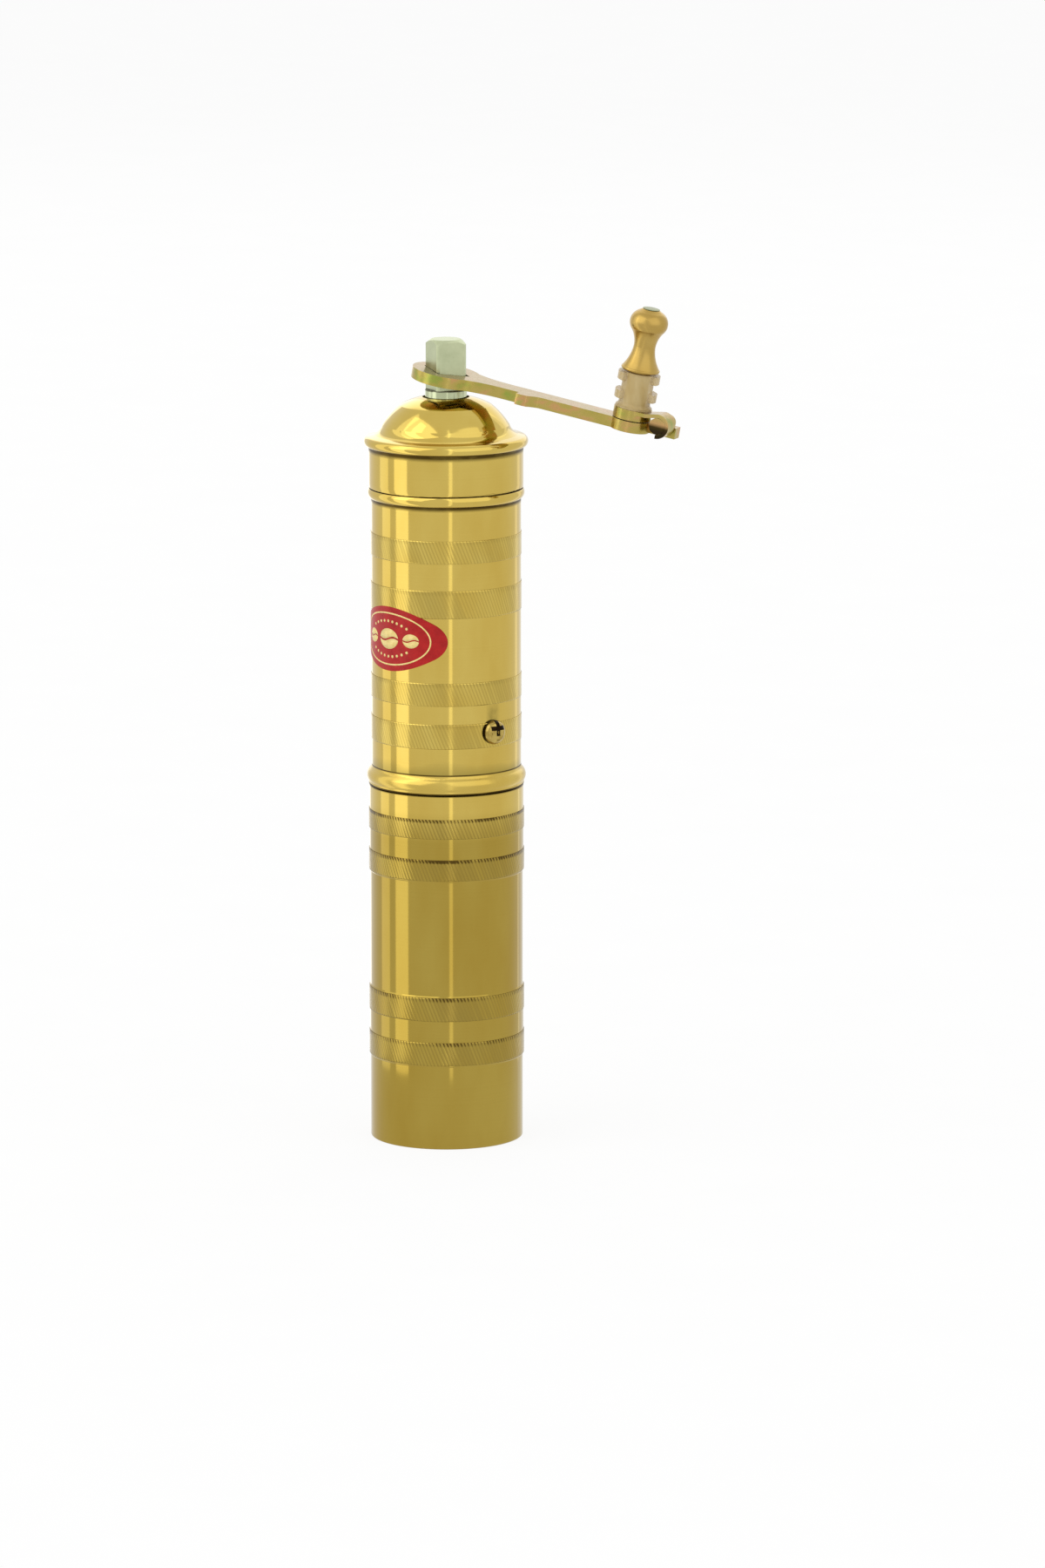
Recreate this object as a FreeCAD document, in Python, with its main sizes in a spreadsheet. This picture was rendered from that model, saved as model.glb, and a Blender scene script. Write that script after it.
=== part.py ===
import FreeCAD, Part
import math
import os
from types import SimpleNamespace

import Sketcher

# A cylindrical brass hand mill for coffee. It stands on its cup: the axis is +Z and the origin is the
# centre of the cup's underside. The crank points along +X and hangs at a slant, because its square hole
# is loose on the spindle. Lengths are millimetres, angles are degrees.
SIZES = {
    # Fits shared by many pieces.
    "running_gap": 0.08,
    "press_gap": 0.02,
    "face_gap": 0.1,
    "edge_chamfer": 0.3,
    # Cup, with two zones that stand a little proud and carry the knurled bands. The low zone is
    # measured up from the foot and the high zone down from the mouth.
    "cup_diameter": 45.0,
    "cup_zone_rise": 0.2,
    "cup_wall_thickness": 0.7,
    "cup_height": 105.0,
    "cup_base_thickness": 1.2,
    "cup_foot_rounding": 0.5,
    "cup_low_zone_level": 24.8,
    "zone_ramp": 0.3,
    "band_rise": 0.1,
    "cup_band_a_margin": 0.2,
    "cup_band_a_height": 6.8,
    "cup_low_band_gap": 6.4,
    "cup_band_b_height": 6.9,
    "cup_band_b_margin": 0.2,
    "cup_band_c_margin": 0.2,
    "cup_band_c_height": 6.2,
    "cup_high_band_gap": 6.2,
    "cup_band_d_height": 5.7,
    "cup_band_d_depth": 7.1,
    # Upper tube: a spigot in the cup, two rolled beads, and a neck inside the lid. Its low bands are
    # measured up from the low bead and its high bands down from the high one.
    "spigot_length": 16.0,
    "spigot_wall": 0.7,
    "cup_fit_gap": 0.1,
    "tube_wall": 1.0,
    "tube_length": 84.0,
    "tube_band_a_margin": 7.8,
    "tube_band_a_height": 7.2,
    "tube_low_band_gap": 5.4,
    "tube_band_b_height": 6.7,
    "tube_band_c_height": 8.1,
    "tube_high_band_gap": 7.9,
    "tube_band_d_height": 6.6,
    "tube_band_d_depth": 9.7,
    "bead_gap": 0.2,
    "low_bead_ridge_rise": 0.85,
    "low_bead_ridge_height": 0.9,
    "low_bead_rise": 1.35,
    "low_bead_roll_height": 3.5,
    "low_bead_neck_rise": 0.5,
    "low_bead_flare_height": 1.2,
    "bead_flare_hollow": 0.15,
    "high_bead_rise": 1.0,
    "high_bead_height": 3.0,
    "high_bead_top_rise": 0.6,
    "neck_length": 9.6,
    "neck_wall": 0.85,
    # Lid: a skirt and a domed cover with an overhanging flange.
    "lid_fit_gap": 0.1,
    "skirt_wall": 0.75,
    "lid_headroom": 1.2,
    "lid_lip_depth": 1.4,
    "lid_lip_wall": 1.2,
    "flange_overhang": 1.4,
    "flange_height": 3.0,
    "flange_rim_bulge": 1.0,
    "flange_land": 3.0,
    "flange_blend_rise": 0.5,
    "flange_blend_hollow": 0.42,
    "dome_foot_inset": 2.4,
    "dome_foot_rise": 3.2,
    "dome_knee_inset": 5.1,
    "dome_knee_drop": 2.4,
    "dome_rise": 11.35,
    "dome_shoulder_bulge": 0.3,
    "dome_crown_bulge": 0.29,
    "dome_sheet": 1.0,
    "lid_hole_gap": 0.75,
    # Spindle: a threaded foot, drive flats, a thrust collar, a shaft, a bar and a square.
    "thread_diameter": 7.0,
    "thread_tail": 3.5,
    "flats_lift": 1.0,
    "flats_margin": 0.1,
    "flats_depth": 0.9,
    "collar_lift": 1.7,
    "collar_width": 1.7,
    "collar_height": 1.3,
    "clip_groove_depth": 0.6,
    "bar_drop": 5.4,
    "bar_width": 1.6,
    "bar_cone_height": 1.5,
    "bar_show": 2.1,
    "square_height": 14.8,
    "square_flat_depth": 1.4,
    "square_chamfer_drop": 1.4,
    "square_chamfer_width": 1.8,
    # Bearings: a bridge in the neck and a three-armed guide above the burrs.
    "bridge_lift": 1.2,
    "bridge_height": 6.0,
    "bridge_wall": 2.0,
    "bridge_bar_width": 9.0,
    "bridge_boss_wall": 1.82,
    "bush_wall": 1.6,
    "bush_flange_width": 1.2,
    "bush_flange_height": 1.0,
    "guide_height": 5.5,
    "guide_wall": 2.0,
    "guide_arm_width": 4.0,
    "guide_hub_wall": 1.82,
    "washer_width": 2.42,
    "washer_thickness": 1.2,
    "clip_width": 3.08,
    "clip_thickness": 1.0,
    "clip_opening": 5.0,
    # Burrs and the nut that sets the grind.
    "burr_lift": 6.4,
    "outer_burr_height": 19.0,
    "burr_mouth_wall": 2.08,
    "burr_throat_inset": 1.6,
    "burr_throat_rise": 8.0,
    "burr_foot_wall": 3.38,
    "burr_grind_gap": 0.7,
    "inner_burr_drop": 1.0,
    "inner_burr_top_wall": 2.92,
    "burr_tooth_width": 1.6,
    "burr_tooth_depth": 1.1,
    "nut_hub_wall": 2.4,
    "nut_hub_height": 1.8,
    "nut_rim_width": 4.0,
    "nut_rim_height": 3.6,
    "thread_gap": 0.1,
    "nut_grip_width": 1.6,
    "nut_grip_depth": 0.8,
    # Two screws through the tube wall hold the outer burr.
    "screw_rise": 11.4,
    "screw_angle": -30.0,
    "screw_diameter": 3.9,
    "screw_reach": 2.6,
    "screw_head_width": 1.6,
    "screw_head_height": 2.3,
    "screw_head_rim": 0.7,
    "screw_head_bulge": 0.75,
    "screw_slot_width": 1.0,
    "screw_slot_length": 4.4,
    "screw_slot_depth": 1.3,
    # Oval label on the tube, its middle measured down from the high bead.
    "label_angle": -118.0,
    "label_drop": 39.2,
    "label_width": 34.0,
    "label_height": 18.8,
    "label_end_radius": 6.2,
    "label_film": 0.12,
    # Crank arm, flat, with a square-holed eye, a lobe on its front edge and a boss under the knob.
    "crank_droop": 10.8,
    "crank_thickness": 3.2,
    "crank_radius": 58.2,
    "eye_wall": 2.8,
    "eye_fit_gap": 0.1,
    "eye_seat_gap": 1.05,
    "arm_width": 7.2,
    "fairing_inset": 2.4,
    "fairing_step": 0.2,
    "fairing_length": 10.4,
    "fairing_hollow": 0.55,
    "lobe_gap": 6.2,
    "lobe_length": 7.5,
    "lobe_crest": 3.6,
    "lobe_depth": 2.2,
    "lobe_bulge": 0.25,
    "lobe_hollow": 0.3,
    "boss_diameter": 11.5,
    # Hinge at the tip of the arm: a hooked leaf turns on a pin carried by an ear of the arm.
    "hinge_reach": 9.6,
    "hinge_pin_diameter": 3.0,
    "hinge_barrel_diameter": 4.8,
    "hinge_pin_overhang": 0.3,
    "hinge_pin_recess": 0.2,
    "hinge_gap": 0.1,
    "hook_thickness": 1.1,
    "hook_lift": 0.9,
    "hook_width": 5.9,
    "hook_front": 5.0,
    "ear_gap": 0.3,
    "ear_width": 3.8,
    "ear_wall": 0.8,
    "ear_tip": 3.9,
    "leaf_gap": 0.25,
    "leaf_diameter": 11.1,
    "leaf_thickness": 3.0,
    # Knob on its ribbed sleeve, held by a rivet.
    "rivet_diameter": 3.2,
    "rivet_head_width": 0.85,
    "rivet_head_height": 0.25,
    "rivet_head_rim": 0.12,
    "rivet_head_bulge": 0.08,
    "rivet_head_flat": 1.0,
    "shank_wall": 1.47,
    "shank_lift": 0.3,
    "sleeve_length": 10.5,
    "sleeve_wall": 1.37,
    "sleeve_foot_width": 0.7,
    "sleeve_foot_height": 0.6,
    "sleeve_flare_height": 1.2,
    "sleeve_flare_hollow": 0.25,
    "rib_depth": 1.5,
    "rib_root_depth": 0.3,
    "rib_height": 2.3,
    "rib_foot_gap": 2.7,
    "rib_top_gap": 0.2,
    "rib_direction": 21.7,
    "rib_spread": 76.0,
    "knob_gap": 0.6,
    "knob_height": 18.1,
    "knob_base_diameter": 11.2,
    "knob_base_height": 0.9,
    "knob_base_bulge": 0.25,
    "knob_waist_wall": 1.47,
    "knob_waist_rise": 7.0,
    "knob_lower_hollow": 0.45,
    "knob_throat_diameter": 10.0,
    "knob_throat_rise": 12.2,
    "knob_upper_hollow": 0.5,
    "knob_head_bulge": 1.25,
    "knob_crown_width": 0.95,
    "knob_crown_drop": 0.6,
}
BURR_TOOTH_COUNT = 24
NUT_GRIP_COUNT = 20
GUIDE_ARM_COUNT = 3
HALF_SQRT_TWO = math.sqrt(0.5)
# How far a quarter of a circle stands off its chord, for a radius of one.
QUARTER_RISE = 1 - HALF_SQRT_TWO

doc = FreeCAD.newDocument("coffee_mill")
sheet = doc.addObject("Spreadsheet::Sheet", "Sizes")
for row, (alias, value) in enumerate(SIZES.items(), start=1):
    sheet.set("A%d" % row, alias)
    sheet.set("B%d" % row, str(value))
    sheet.setAlias("B%d" % row, alias)
doc.recompute()


class Size:
    """A length or an angle: its number, and the formula over the sheet that keeps it current."""

    def __init__(self, number, formula):
        self.number = number
        self.formula = formula

    def __add__(self, other):
        other = as_size(other)
        return Size(self.number + other.number, "(%s + %s)" % (self.formula, other.formula))

    def __sub__(self, other):
        other = as_size(other)
        return Size(self.number - other.number, "(%s - %s)" % (self.formula, other.formula))

    def __mul__(self, other):
        other = as_size(other)
        return Size(self.number * other.number, "(%s * %s)" % (self.formula, other.formula))

    def __truediv__(self, other):
        other = as_size(other)
        return Size(self.number / other.number, "(%s / %s)" % (self.formula, other.formula))

    def __neg__(self):
        return Size(-self.number, "(0 - %s)" % self.formula)


def as_size(value):
    """Give a bare number the form of a size."""
    if isinstance(value, Size):
        return value
    return Size(float(value), repr(float(value)))


def cosine(angle):
    return Size(math.cos(math.radians(angle.number)), "cos(%s * 1 deg)" % angle.formula)


def sine(angle):
    return Size(math.sin(math.radians(angle.number)), "sin(%s * 1 deg)" % angle.formula)


def root(square):
    return Size(math.sqrt(square.number), "sqrt(%s)" % square.formula)


s = SimpleNamespace(**{alias: Size(value, "Sizes." + alias) for alias, value in SIZES.items()})
ZERO = as_size(0)


def new_body(label):
    """Start a piece."""
    body = doc.addObject("PartDesign::Body", label)
    body.Label = label
    return body


def new_sketch(body, role, offset=None):
    """Start a sketch on one of the body's own planes, moved along the plane's normal by the offset."""
    sketch = body.newObject("Sketcher::SketchObject", body.Label + "_sketch")
    plane = [feature for feature in body.Origin.OriginFeatures if feature.Role == role][0]
    sketch.AttachmentSupport = (plane, [""])
    sketch.MapMode = "FlatFace"
    if offset is not None:
        sketch.setExpression(".AttachmentOffset.Base.z", offset.formula)
    return sketch


def hold(sketch, geometry, end, x, y):
    """Hold one point of a sketch at two sizes, or on an axis where a size is zero."""
    for kind, axis, place in (("DistanceX", -2, as_size(x)), ("DistanceY", -1, as_size(y))):
        if place.formula == ZERO.formula:
            sketch.addConstraint(Sketcher.Constraint("PointOnObject", geometry, end, axis))
        else:
            fixed = Sketcher.Constraint(kind, -1, 1, geometry, end, place.number)
            index = sketch.addConstraint(fixed)
            sketch.setExpression("Constraints[%d]" % index, place.formula)


def set_radius(sketch, geometry, radius):
    """Tie the radius of a circle or an arc to a size."""
    index = sketch.addConstraint(Sketcher.Constraint("Radius", geometry, radius.number))
    sketch.setExpression("Constraints[%d]" % index, radius.formula)


def draw_circle(sketch, x, y, radius):
    """Draw a full circle."""
    centre = FreeCAD.Vector(as_size(x).number, as_size(y).number, 0)
    circle = Part.Circle(centre, FreeCAD.Vector(0, 0, 1), radius.number)
    geometry = sketch.addGeometry(circle)
    set_radius(sketch, geometry, radius)
    hold(sketch, geometry, 3, x, y)


def draw_outline(sketch, corners):
    """Draw a closed outline, anticlockwise.

    A corner is (x, y), or (x, y, rise, side) when an arc leaves it. The arc stands off its chord by
    the rise: outwards when the side is 1 and into the material when it is -1.
    """
    edges = []
    for number, corner in enumerate(corners):
        following = corners[(number + 1) % len(corners)]
        start = FreeCAD.Vector(as_size(corner[0]).number, as_size(corner[1]).number, 0)
        end = FreeCAD.Vector(as_size(following[0]).number, as_size(following[1]).number, 0)
        if len(corner) == 2:
            geometry = sketch.addGeometry(Part.LineSegment(start, end))
            edges.append((geometry, 1, 2))
            continue
        rise, side = corner[2:]
        width = as_size(following[0]) - corner[0]
        height = as_size(following[1]) - corner[1]
        radius = ((width * width + height * height) / 4 + rise * rise) / (rise * 2)
        chord = end - start
        leftward = FreeCAD.Vector(-chord.y, chord.x, 0).normalize()
        centre = (start + end) * 0.5 + leftward * side * (radius.number - rise.number)
        circle = Part.Circle(centre, FreeCAD.Vector(0, 0, 1), radius.number)
        angles = [math.atan2(point.y - centre.y, point.x - centre.x) for point in (start, end)]
        if side < 0:
            angles.reverse()
        geometry = sketch.addGeometry(Part.ArcOfCircle(circle, angles[0], angles[1]))
        set_radius(sketch, geometry, radius)
        edges.append((geometry, 1, 2) if side > 0 else (geometry, 2, 1))
    for number, (geometry, first, last) in enumerate(edges):
        following, following_first, _ = edges[(number + 1) % len(edges)]
        joined = Sketcher.Constraint("Coincident", geometry, last, following, following_first)
        sketch.addConstraint(joined)
        hold(sketch, geometry, first, corners[number][0], corners[number][1])


def box_corners(x_low, x_high, y_low, y_high):
    """Give the corners of a rectangle, anticlockwise."""
    return [(x_low, y_low), (x_high, y_low), (x_high, y_high), (x_low, y_high)]


def revolve(body, corners, axis="V_Axis"):
    """Turn an outline of the XZ plane about an axis of its sketch."""
    sketch = new_sketch(body, "XZ_Plane")
    draw_outline(sketch, corners)
    feature = body.newObject("PartDesign::Revolution", body.Label + "_turned")
    feature.Profile = sketch
    feature.ReferenceAxis = (sketch, [axis])
    feature.Angle = 360
    return feature


def pad(body, sketch, length, middle=False):
    """Thicken a sketch along its normal, or to both sides of it."""
    feature = body.newObject("PartDesign::Pad", body.Label + "_pad")
    feature.Profile = sketch
    feature.setExpression("Length", length.formula)
    feature.SideType = "Symmetric" if middle else "One side"
    return feature


def pocket(body, sketch, length=None, forwards=False):
    """Cut a sketch through everything on both sides, or to a depth on one side of its plane."""
    feature = body.newObject("PartDesign::Pocket", body.Label + "_cut")
    feature.Profile = sketch
    if length is None:
        feature.Type = "ThroughAll"
        feature.SideType = "Symmetric"
    else:
        feature.setExpression("Length", length.formula)
        feature.Reversed = forwards
    return feature


def repeat_round(body, feature, count):
    """Repeat a cut evenly round the body's Z axis."""
    pattern = body.newObject("PartDesign::PolarPattern", body.Label + "_pattern")
    pattern.Originals = [feature]
    axis = [line for line in body.Origin.OriginFeatures if line.Role == "Z_Axis"][0]
    pattern.Axis = (axis, [""])
    pattern.Angle = 360
    pattern.Occurrences = count
    body.Tip = pattern
    return pattern


def turn_about_z(body, angle, level=ZERO):
    """Place a body at a level, turned about the mill's axis."""
    body.Placement = FreeCAD.Placement(FreeCAD.Vector(), FreeCAD.Rotation(FreeCAD.Vector(0, 0, 1), 1))
    body.setExpression(".Placement.Rotation.Angle", "%s * 1 deg" % angle.formula)
    body.setExpression(".Placement.Base.z", level.formula)


def hang_on_crank(body, along=ZERO):
    """Place a body in the slanted frame of the crank, its origin a distance along the arm."""
    body.Placement = FreeCAD.Placement(FreeCAD.Vector(), FreeCAD.Rotation(FreeCAD.Vector(0, 1, 0), 1))
    body.setExpression(".Placement.Rotation.Angle", "%s * 1 deg" % s.crank_droop.formula)
    body.setExpression(".Placement.Base.x", (along * cosine(s.crank_droop)).formula)
    body.setExpression(".Placement.Base.z", (eye_level - along * sine(s.crank_droop)).formula)


def band_steps(surface, bands):
    """Give the outline of raised bands on a surface, from the lowest band up."""
    steps = []
    for level, height in bands:
        steps.append((surface, level))
        steps.append((surface + s.band_rise, level))
        steps.append((surface + s.band_rise, level + height))
        steps.append((surface, level + height))
    return steps


def bush_outer(shaft):
    """Give the outer radius of the bush on a shaft."""
    return shaft + s.running_gap + s.bush_wall


# Radii that several pieces share, each worked out from the piece that it fits.
cup_proud = s.cup_diameter / 2
cup_plain = cup_proud - s.cup_zone_rise
cup_bore = cup_plain - s.cup_wall_thickness
spigot_radius = cup_bore - s.cup_fit_gap
tube_bore = spigot_radius - s.spigot_wall
tube_radius = tube_bore + s.tube_wall
band_crest = tube_radius + s.band_rise
insert_radius = tube_bore - s.press_gap
neck_radius = tube_bore + s.neck_wall
skirt_bore = neck_radius + s.lid_fit_gap
skirt_radius = skirt_bore + s.skirt_wall
thread_radius = s.thread_diameter / 2
flats_half = thread_radius + s.flats_margin
shaft_radius = flats_half + s.flats_depth
bar_radius = shaft_radius + s.bar_width
square_half = bar_radius - s.square_flat_depth
burr_foot = insert_radius - s.burr_foot_wall
burr_throat = burr_foot - s.burr_throat_inset

# Levels, from the foot of the cup up.
spigot_level = s.cup_height - s.spigot_length
bead_level = s.cup_height + s.bead_gap
flare_top = bead_level + s.low_bead_ridge_height + s.low_bead_roll_height + s.low_bead_flare_height
high_bead_level = bead_level + s.tube_length
lid_seat = high_bead_level + s.high_bead_height
neck_top = lid_seat + s.neck_length
skirt_level = lid_seat + s.bead_gap
skirt_top = neck_top + s.lid_headroom + s.lid_lip_depth
flange_top = skirt_top + s.flange_height
crown_level = flange_top + s.dome_rise
burr_level = bead_level + s.burr_lift
burr_top = burr_level + s.outer_burr_height
screw_level = burr_level + s.screw_rise
nut_top = burr_level - s.face_gap
nut_level = nut_top - s.nut_hub_height - s.nut_rim_height
flats_level = burr_level + s.flats_lift
collar_level = burr_top + s.collar_lift
collar_top = collar_level + s.collar_height
washer_level = collar_top + s.face_gap
washer_top = washer_level + s.washer_thickness
guide_level = washer_top + s.face_gap + s.bush_flange_height
guide_top = guide_level + s.guide_height
groove_level = guide_top + s.face_gap
clip_level = groove_level + s.face_gap / 2
groove_top = groove_level + s.clip_thickness + s.face_gap
bridge_level = lid_seat + s.bridge_lift
bar_level = bridge_level - s.bar_drop
square_level = crown_level + s.bar_show
spindle_top = square_level + s.square_height

# The crank's own frame: its origin is the middle of the eye, its X axis runs along the arm. The slanted
# eye binds on the square a little above the rim of the round bar.
crank_half = s.crank_thickness / 2
droop_tangent = sine(s.crank_droop) / cosine(s.crank_droop)
eye_seat = square_level + s.eye_seat_gap + bar_radius * droop_tangent
eye_level = eye_seat + crank_half / cosine(s.crank_droop)
leaf_level = crank_half + s.leaf_gap
leaf_top = leaf_level + s.leaf_thickness
sleeve_top = leaf_top + s.sleeve_length
knob_level = sleeve_top + s.knob_gap
knob_top = knob_level + s.knob_height
rivet_radius = s.rivet_diameter / 2
rivet_head = rivet_radius + s.rivet_head_width
knob_bore = rivet_radius + s.running_gap
shank_radius = knob_bore + s.shank_wall
pin_radius = s.hinge_pin_diameter / 2
barrel_radius = s.hinge_barrel_diameter / 2
hook_inner = barrel_radius + s.hinge_gap
hook_outer = hook_inner + s.hook_thickness
hinge_along = s.crank_radius + s.hinge_reach
hinge_height = leaf_top + s.hook_lift - hook_outer
hook_back = s.hook_width - s.hook_front
ear_front = hook_back + s.ear_gap
ear_back = ear_front + s.ear_width


def make_cup_wall():
    body = new_body("cup_wall")
    band_a = s.cup_low_zone_level + s.cup_band_a_margin
    band_b = band_a + s.cup_band_a_height + s.cup_low_band_gap
    low_top = band_b + s.cup_band_b_height + s.cup_band_b_margin
    band_d = s.cup_height - s.cup_band_d_depth - s.cup_band_d_height
    band_c = band_d - s.cup_high_band_gap - s.cup_band_c_height
    high_level = band_c - s.cup_band_c_margin
    corners = [
        (cup_bore, ZERO),
        (cup_plain - s.cup_foot_rounding, ZERO, s.cup_foot_rounding * QUARTER_RISE, 1),
        (cup_plain, s.cup_foot_rounding),
        (cup_plain, s.cup_low_zone_level - s.zone_ramp),
        (cup_proud, s.cup_low_zone_level),
    ]
    corners += band_steps(cup_proud, ((band_a, s.cup_band_a_height), (band_b, s.cup_band_b_height)))
    corners += [
        (cup_proud, low_top),
        (cup_plain, low_top + s.zone_ramp),
        (cup_plain, high_level - s.zone_ramp),
        (cup_proud, high_level),
    ]
    corners += band_steps(cup_proud, ((band_c, s.cup_band_c_height), (band_d, s.cup_band_d_height)))
    corners += [
        (cup_proud, s.cup_height - s.edge_chamfer),
        (cup_proud - s.edge_chamfer, s.cup_height),
        (cup_bore, s.cup_height),
    ]
    revolve(body, corners)
    return body


def make_cup_base():
    body = new_body("cup_base")
    sketch = new_sketch(body, "XY_Plane")
    draw_circle(sketch, ZERO, ZERO, cup_bore - s.press_gap)
    pad(body, sketch, s.cup_base_thickness)
    return body


def make_upper_tube():
    body = new_body("upper_tube")
    ridge = tube_radius + s.low_bead_ridge_rise
    ridge_top = bead_level + s.low_bead_ridge_height
    roll_top = ridge_top + s.low_bead_roll_height
    roll_neck = tube_radius + s.low_bead_neck_rise
    # A roll's rise is measured from the middle of the chord between its two ends.
    roll_rise = s.low_bead_rise - (s.low_bead_ridge_rise + s.low_bead_neck_rise) / 2
    high_rise = s.high_bead_rise - s.high_bead_top_rise / 2
    band_a = flare_top + s.tube_band_a_margin
    band_b = band_a + s.tube_band_a_height + s.tube_low_band_gap
    band_d = high_bead_level - s.tube_band_d_depth - s.tube_band_d_height
    band_c = band_d - s.tube_high_band_gap - s.tube_band_c_height
    bands = (
        (band_a, s.tube_band_a_height),
        (band_b, s.tube_band_b_height),
        (band_c, s.tube_band_c_height),
        (band_d, s.tube_band_d_height),
    )
    corners = [
        (tube_bore, spigot_level),
        (spigot_radius - s.edge_chamfer, spigot_level),
        (spigot_radius, spigot_level + s.edge_chamfer),
        (spigot_radius, bead_level),
        (ridge, bead_level),
        (ridge, ridge_top, roll_rise, 1),
        (roll_neck, roll_top, s.bead_flare_hollow, -1),
        (tube_radius, flare_top),
    ]
    corners += band_steps(tube_radius, bands)
    corners += [
        (tube_radius, high_bead_level, high_rise, 1),
        (tube_radius + s.high_bead_top_rise, lid_seat),
        (neck_radius, lid_seat),
        (neck_radius, neck_top - s.edge_chamfer),
        (neck_radius - s.edge_chamfer, neck_top),
        (tube_bore, neck_top),
    ]
    revolve(body, corners)
    holes = new_sketch(body, "YZ_Plane")
    draw_circle(holes, ZERO, screw_level, s.screw_diameter / 2 + s.running_gap)
    pocket(body, holes)
    turn_about_z(body, s.screw_angle)
    return body


def make_lid_skirt():
    body = new_body("lid_skirt")
    corners = [
        (skirt_bore, skirt_level),
        (skirt_radius - s.edge_chamfer, skirt_level),
        (skirt_radius, skirt_level + s.edge_chamfer),
        (skirt_radius, skirt_top),
        (skirt_bore, skirt_top),
    ]
    revolve(body, corners)
    return body


def make_lid_dome():
    body = new_body("lid_dome")
    hole = bar_radius + s.lid_hole_gap
    flange = skirt_radius + s.flange_overhang
    rim = flange - s.flange_rim_bulge
    blend = flange - s.flange_land
    foot = blend - s.dome_foot_inset
    foot_level = flange_top + s.dome_foot_rise
    knee = foot - s.dome_knee_inset
    knee_level = crown_level - s.dome_knee_drop
    lip = skirt_bore - s.press_gap
    lip_level = skirt_top - s.lid_lip_depth
    lip_bore = lip - s.lid_lip_wall
    # The inside follows the outside at the sheet's thickness, measured across the slope.
    sheet_across = s.dome_sheet * HALF_SQRT_TWO
    corners = [
        (lip_bore, lip_level),
        (lip, lip_level),
        (lip, skirt_top),
        (rim, skirt_top, s.flange_rim_bulge, 1),
        (rim, flange_top),
        (blend, flange_top + s.flange_blend_rise, s.flange_blend_hollow, -1),
        (foot, foot_level, s.dome_shoulder_bulge, 1),
        (knee, knee_level, s.dome_crown_bulge, 1),
        (hole, crown_level),
        (hole, crown_level - s.dome_sheet, s.dome_crown_bulge, -1),
        (knee - sheet_across, knee_level - sheet_across, s.dome_shoulder_bulge, -1),
        (foot - s.dome_sheet, foot_level - s.dome_sheet),
        (lip_bore, flange_top - s.dome_sheet),
    ]
    revolve(body, corners)
    return body


def make_spindle():
    body = new_body("spindle")
    foot_level = nut_level - s.thread_tail
    collar = shaft_radius + s.collar_width
    groove = shaft_radius - s.clip_groove_depth
    corners = [
        (ZERO, foot_level),
        (thread_radius - s.edge_chamfer, foot_level),
        (thread_radius, foot_level + s.edge_chamfer),
        (thread_radius, flats_level),
        (shaft_radius, flats_level),
        (shaft_radius, collar_level),
        (collar, collar_level),
        (collar, collar_top),
        (shaft_radius, collar_top),
        (shaft_radius, groove_level),
        (groove, groove_level),
        (groove, groove_top),
        (shaft_radius, groove_top),
        (shaft_radius, bar_level),
        (bar_radius, bar_level + s.bar_cone_height),
        (bar_radius, spindle_top - s.square_chamfer_drop),
        (bar_radius - s.square_chamfer_width, spindle_top),
        (ZERO, spindle_top),
    ]
    revolve(body, corners)
    # The square is what is left of the bar's end, with a corner of it towards the crank's tip.
    around_square = new_sketch(body, "XY_Plane", spindle_top)
    corner = square_half / HALF_SQRT_TWO
    draw_outline(around_square, [(corner, ZERO), (ZERO, corner), (-corner, ZERO), (ZERO, -corner)])
    draw_circle(around_square, ZERO, ZERO, bar_radius * 2)
    pocket(body, around_square, s.square_height)
    flats = new_sketch(body, "XY_Plane", flats_level)
    clear = shaft_radius * 2
    draw_outline(flats, box_corners(-clear, clear, flats_half, clear))
    draw_outline(flats, box_corners(-clear, clear, -clear, -flats_half))
    pocket(body, flats, collar_level - flats_level, forwards=True)
    return body


def make_bush(label, shaft, level, height, flange_below):
    """A flanged bush round a shaft; the flange lies below or above the piece that carries it."""
    body = new_body(label)
    bore = shaft + s.running_gap
    outer = bush_outer(shaft)
    flange = outer + s.bush_flange_width
    top = level + height
    if flange_below:
        corners = [
            (bore, level - s.bush_flange_height),
            (flange, level - s.bush_flange_height),
            (flange, level),
            (outer, level),
            (outer, top),
            (bore, top),
        ]
    else:
        corners = [
            (bore, level),
            (outer, level),
            (outer, top),
            (flange, top),
            (flange, top + s.bush_flange_height),
            (bore, top + s.bush_flange_height),
        ]
    revolve(body, corners)
    return body


def make_bearing_ring(body, level, height, wall):
    """Turn the ring of a bearing carrier, pressed into the tube."""
    inner = insert_radius - wall
    top = level + height
    revolve(body, [(inner, level), (insert_radius, level), (insert_radius, top), (inner, top)])


def make_top_bridge():
    body = new_body("top_bridge")
    make_bearing_ring(body, bridge_level, s.bridge_height, s.bridge_wall)
    middle = insert_radius - s.bridge_wall / 2
    bar = new_sketch(body, "XY_Plane", bridge_level)
    half_bar = s.bridge_bar_width / 2
    draw_outline(bar, box_corners(-middle, middle, -half_bar, half_bar))
    pad(body, bar, s.bridge_height)
    boss = new_sketch(body, "XY_Plane", bridge_level)
    draw_circle(boss, ZERO, ZERO, bush_outer(bar_radius) + s.bridge_boss_wall)
    pad(body, boss, s.bridge_height)
    bore = new_sketch(body, "XY_Plane", bridge_level)
    draw_circle(bore, ZERO, ZERO, bush_outer(bar_radius) + s.press_gap)
    pocket(body, bore)
    return body


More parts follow.
